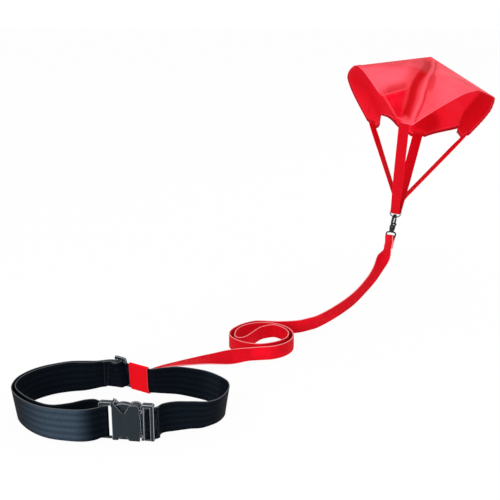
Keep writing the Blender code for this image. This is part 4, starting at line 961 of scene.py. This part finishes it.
canopy_points = np.vstack([upper.reshape(-1, 3), lower.reshape(-1, 3)])
canopy_uv = np.tile(np.stack([sheet_u, sheet_v], -1).reshape(-1, 2), (2, 1))
canopy = mesh_piece("canopy_cloth", canopy_points, canopy_faces, canopy_uv, red_cloth)
inner_side = canopy.data.attributes.new("inner", "FLOAT", "POINT")
inner_side.data.foreach_set("value", np.repeat([0.0, 1.0], cells * cells).astype(np.float32))
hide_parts("canopy")
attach(canopy, "parachute")


def hem_line(front_a, right_a, front_b, right_b, side):
    """A sewing line on one side of the sheet between two places on it."""
    share = np.linspace(0.0, 1.0, 150)
    place, normal = canopy_side(front_a + (front_b - front_a) * share, right_a + (right_b - right_a) * share,
                                np.full(150, side * (HEM_THICK / 2 + 0.05)))
    return place, (normal @ np.stack([right_of_towing, back_of_towing, towing])) * side


hem_lines = []
for inset in (2.6, HEM_WIDTH - 2.0):
    reach = (HALF_SIDE - inset) * 2 ** 0.5
    for (fa, ra), (fb, rb) in zip(CORNERS, CORNERS[1:] + CORNERS[:1]):
        hem_lines += [hem_line(fa * reach, ra * reach, fb * reach, rb * reach, side) for side in (1.0, -1.0)]
hem_stitches = stitches("hem_stitches", hem_lines, red_thread, "parachute")


# Canopy straps. Two lengths of 20 mm red tape, each from one corner round the D-ring's bar to the
# opposite corner, sewn under the folded corners.

STRAP_WIDTH = 20.0
STRAP_THICK = 1.2
RING_WIRE = 1.2
HOOK_TURN = radians(-42.0)
SEWN_LENGTH = 8.0
END_TURNS = (0.0, 0.0, 0.5, 0.35)
SIDE_STEP = 1.0
LEG_STATIONS = (0.02, 0.05, 0.09, 0.14, 0.2, 0.3, 0.42, 0.56, 0.7, 0.85)

bar_along = np.array([cos(HOOK_TURN), sin(HOOK_TURN), 0.0])
bar_across = np.array([-bar_along[1], bar_along[0], 0.0])


def corner_end(corner):
    """Places of a strap's sewn end, on the inner side of its corner flap, from the ring's side inward."""
    fx, rx = CORNERS[corner]
    stations = SHEET_END - np.linspace(-1.5, SEWN_LENGTH, 6)
    places = canopy_surface(stations * fx, stations * rx)
    inward = canopy_surface((stations - 1.0) * fx, (stations - 1.0) * rx) - places
    sideways = canopy_surface(stations * fx - SIDE_STEP * rx, stations * rx + SIDE_STEP * fx) - places
    normal = unit(np.cross(inward, sideways))
    normal *= np.sign((normal * (np.array([0.0, 0.0, 180.0]) - places)).sum(1))[:, None]
    return places + normal * (CANOPY_THICK / 2 + GAP + STRAP_THICK / 2 + 0.7), unit(sideways.mean(0))


def strap(name, first, last, turn_radius, upright_part, twist_part):
    """One tape from its first corner round the bar to its last corner. Each leg rises upright from
    the bar over a part of its height before it runs straight, and twists over another part."""
    first_end, first_side = corner_end(first)
    last_end, last_side = corner_end(last)
    bend = [bar_across * y + upward * z for y, z in arc((0.0, 0.0), turn_radius, 210, 330, 7)]
    rows = []
    legs = ((first_end, first_side, bend[0], END_TURNS[first]),
            (last_end, last_side, bend[-1], END_TURNS[last]))
    for end, side, start, end_turn in legs:
        if side @ bar_along < 0:
            side = -side
        full = atan2(np.cross(bar_along, side)[2], bar_along @ side)
        side = unit(side + np.array([end_turn * np.sign(side[0]), 0.0, 0.0]))
        extra = atan2(np.cross(bar_along, side)[2], bar_along @ side) - full
        leg = []
        for f in LEG_STATIONS:
            sideways = (f * f / (2 * upright_part) if f < upright_part else f - upright_part / 2)
            sideways /= 1 - upright_part / 2
            place = start + (end[0] - start) * np.array([sideways, sideways, f])
            t = min(f / twist_part, 1.0)
            angle = HOOK_TURN + full * t * t * (3 - 2 * t) + extra * f * f
            leg.append((*place, cos(angle), sin(angle), 0.0))
        rows.append(leg + [(*place, *side) for place in end])
    middle = [(*p, *bar_along) for p in bend]
    route = smooth(rows[0][::-1] + middle + rows[1], 1.5)
    world_widths = route[:, 3:6] @ np.stack([right_of_towing, back_of_towing, towing])
    places = to_world(route[:, :3])
    made = ribbon(name + "_tape", places, world_widths, STRAP_WIDTH, STRAP_THICK, red_strap_tape, 6)
    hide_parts(name)
    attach(made, "parachute")
    length = np.linalg.norm(np.diff(places, axis=0), axis=1).sum()
    ends = [((along, -8.0), (along, 8.0)) for along in (2.0, 5.5, length - 2.0, length - 5.5)]
    lines = [line for face in (1.0, -1.0) for line in on_tape(places, world_widths, STRAP_THICK, face, ends)]
    stitches(name + "_stitches", lines, red_thread, "parachute")
    return made


red_strap_tape = woven("red_strap_tape", RED_DARK, RED_PALE, STRAP_WIDTH / 2, 1.1, 1.1, lift=0.0)
inner_turn = RING_WIRE + GAP + STRAP_THICK / 2 + 0.35
side_strap = strap("canopy_strap_left_right", 3, 1, inner_turn, 0.22, 0.16)
front_strap = strap("canopy_strap_front_back", 0, 2, inner_turn + STRAP_THICK + 0.55, 0.01, 0.5)


# Studio. A white floor that the strap lies on, a soft white surround, and the camera where the
# photograph was taken from.

FLOOR_Z = -26.2
CAMERA_PLACE = (0.196, -1.345, 0.675)
CAMERA_PITCH = radians(18.0)
CAMERA_LENS = 71.28
SENSOR_WIDTH = 36.0
FLOOR_SHOWN = 0.95
LIGHT_LEVEL = 0.75

floor_paint = Finish("white_floor", {"Roughness": 0.9, "Specular IOR Level": 0.1})
floor_paint.feed("Base Color", floor_paint.mix(floor_paint.noise(400.0) * 0.5 + 0.5,
                                               (0.93, 0.93, 0.93), (0.95, 0.95, 0.95)))
SHOWN_RAYS = ("Is Camera Ray", "Is Glossy Ray", "Is Transmission Ray")
shown = [floor_paint.add("ShaderNodeLightPath", {}, {}, ray) for ray in SHOWN_RAYS]
seen = shown[0] + shown[1] + shown[2]
glow = floor_paint.add("ShaderNodeEmission", {}, {"Color": (1.0, 1.0, 1.0, 1.0), "Strength": 1.0})
lit = Signal(floor_paint, floor_paint.shader.outputs[0])
backdrop = floor_paint.add("ShaderNodeMixShader", {}, {0: seen * FLOOR_SHOWN, 1: lit, 2: glow})
floor_paint.links.new(backdrop.socket, floor_paint.nodes["Material Output"].inputs["Surface"])
floor_square = np.array([[-1.0, -1.0], [1.0, -1.0], [1.0, 1.0], [-1.0, 1.0]]) * 6000.0
floor_mesh = bpy.data.meshes.new("floor")
floor_mesh.from_pydata([(x * MM, y * MM, FLOOR_Z * MM) for x, y in floor_square], [], [(0, 1, 2, 3)])
floor_mesh.materials.append(floor_paint.material)
floor = bpy.data.objects.new("floor", floor_mesh)
bpy.context.scene.collection.objects.link(floor)

world = bpy.data.worlds.new("surround")
bpy.context.scene.world = world
world.use_nodes = True
sky = world.node_tree.nodes["Background"]
sky.inputs["Color"].default_value = (1.0, 1.0, 1.0, 1.0)
rays = world.node_tree.nodes.new("ShaderNodeLightPath")
total = None
for name in SHOWN_RAYS:
    step = world.node_tree.nodes.new("ShaderNodeMath")
    step.operation = "MULTIPLY_ADD"
    step.inputs[1].default_value = 1.0 - LIGHT_LEVEL
    step.inputs[2].default_value = LIGHT_LEVEL
    world.node_tree.links.new(rays.outputs[name], step.inputs[0])
    if total:
        world.node_tree.links.new(total.outputs[0], step.inputs[2])
    total = step
world.node_tree.links.new(total.outputs[0], sky.inputs["Strength"])


def soft_light(name, place, target, size, power):
    """A square soft light at a place, turned towards a point."""
    data = bpy.data.lights.new(name, "AREA")
    data.size = size
    data.energy = power
    lamp = bpy.data.objects.new(name, data)
    bpy.context.scene.collection.objects.link(lamp)
    z_axis = unit(np.array(place) - np.array(target))
    x_axis = unit(np.cross(upward, z_axis))
    y_axis = np.cross(z_axis, x_axis)
    for row in range(3):
        for column, axis in enumerate((x_axis, y_axis, z_axis, np.array(place))):
            lamp.matrix_world[row][column] = axis[row]
    return lamp


soft_light("key", (-1.0, -2.2, 1.3), (0.25, 0.3, 0.1), 1.4, 40.0)
soft_light("rim", (1.8, 1.6, 1.8), (0.4, 0.4, 0.1), 1.2, 12.0)

camera_data = bpy.data.cameras.new("camera")
camera_data.lens = CAMERA_LENS
camera_data.sensor_width = SENSOR_WIDTH
camera = bpy.data.objects.new("camera", camera_data)
bpy.context.scene.collection.objects.link(camera)
camera.location = CAMERA_PLACE
camera.rotation_euler = (pi / 2 - CAMERA_PITCH, 0.0, 0.0)
bpy.context.scene.camera = camera
bpy.context.scene.view_settings.view_transform = "Standard"
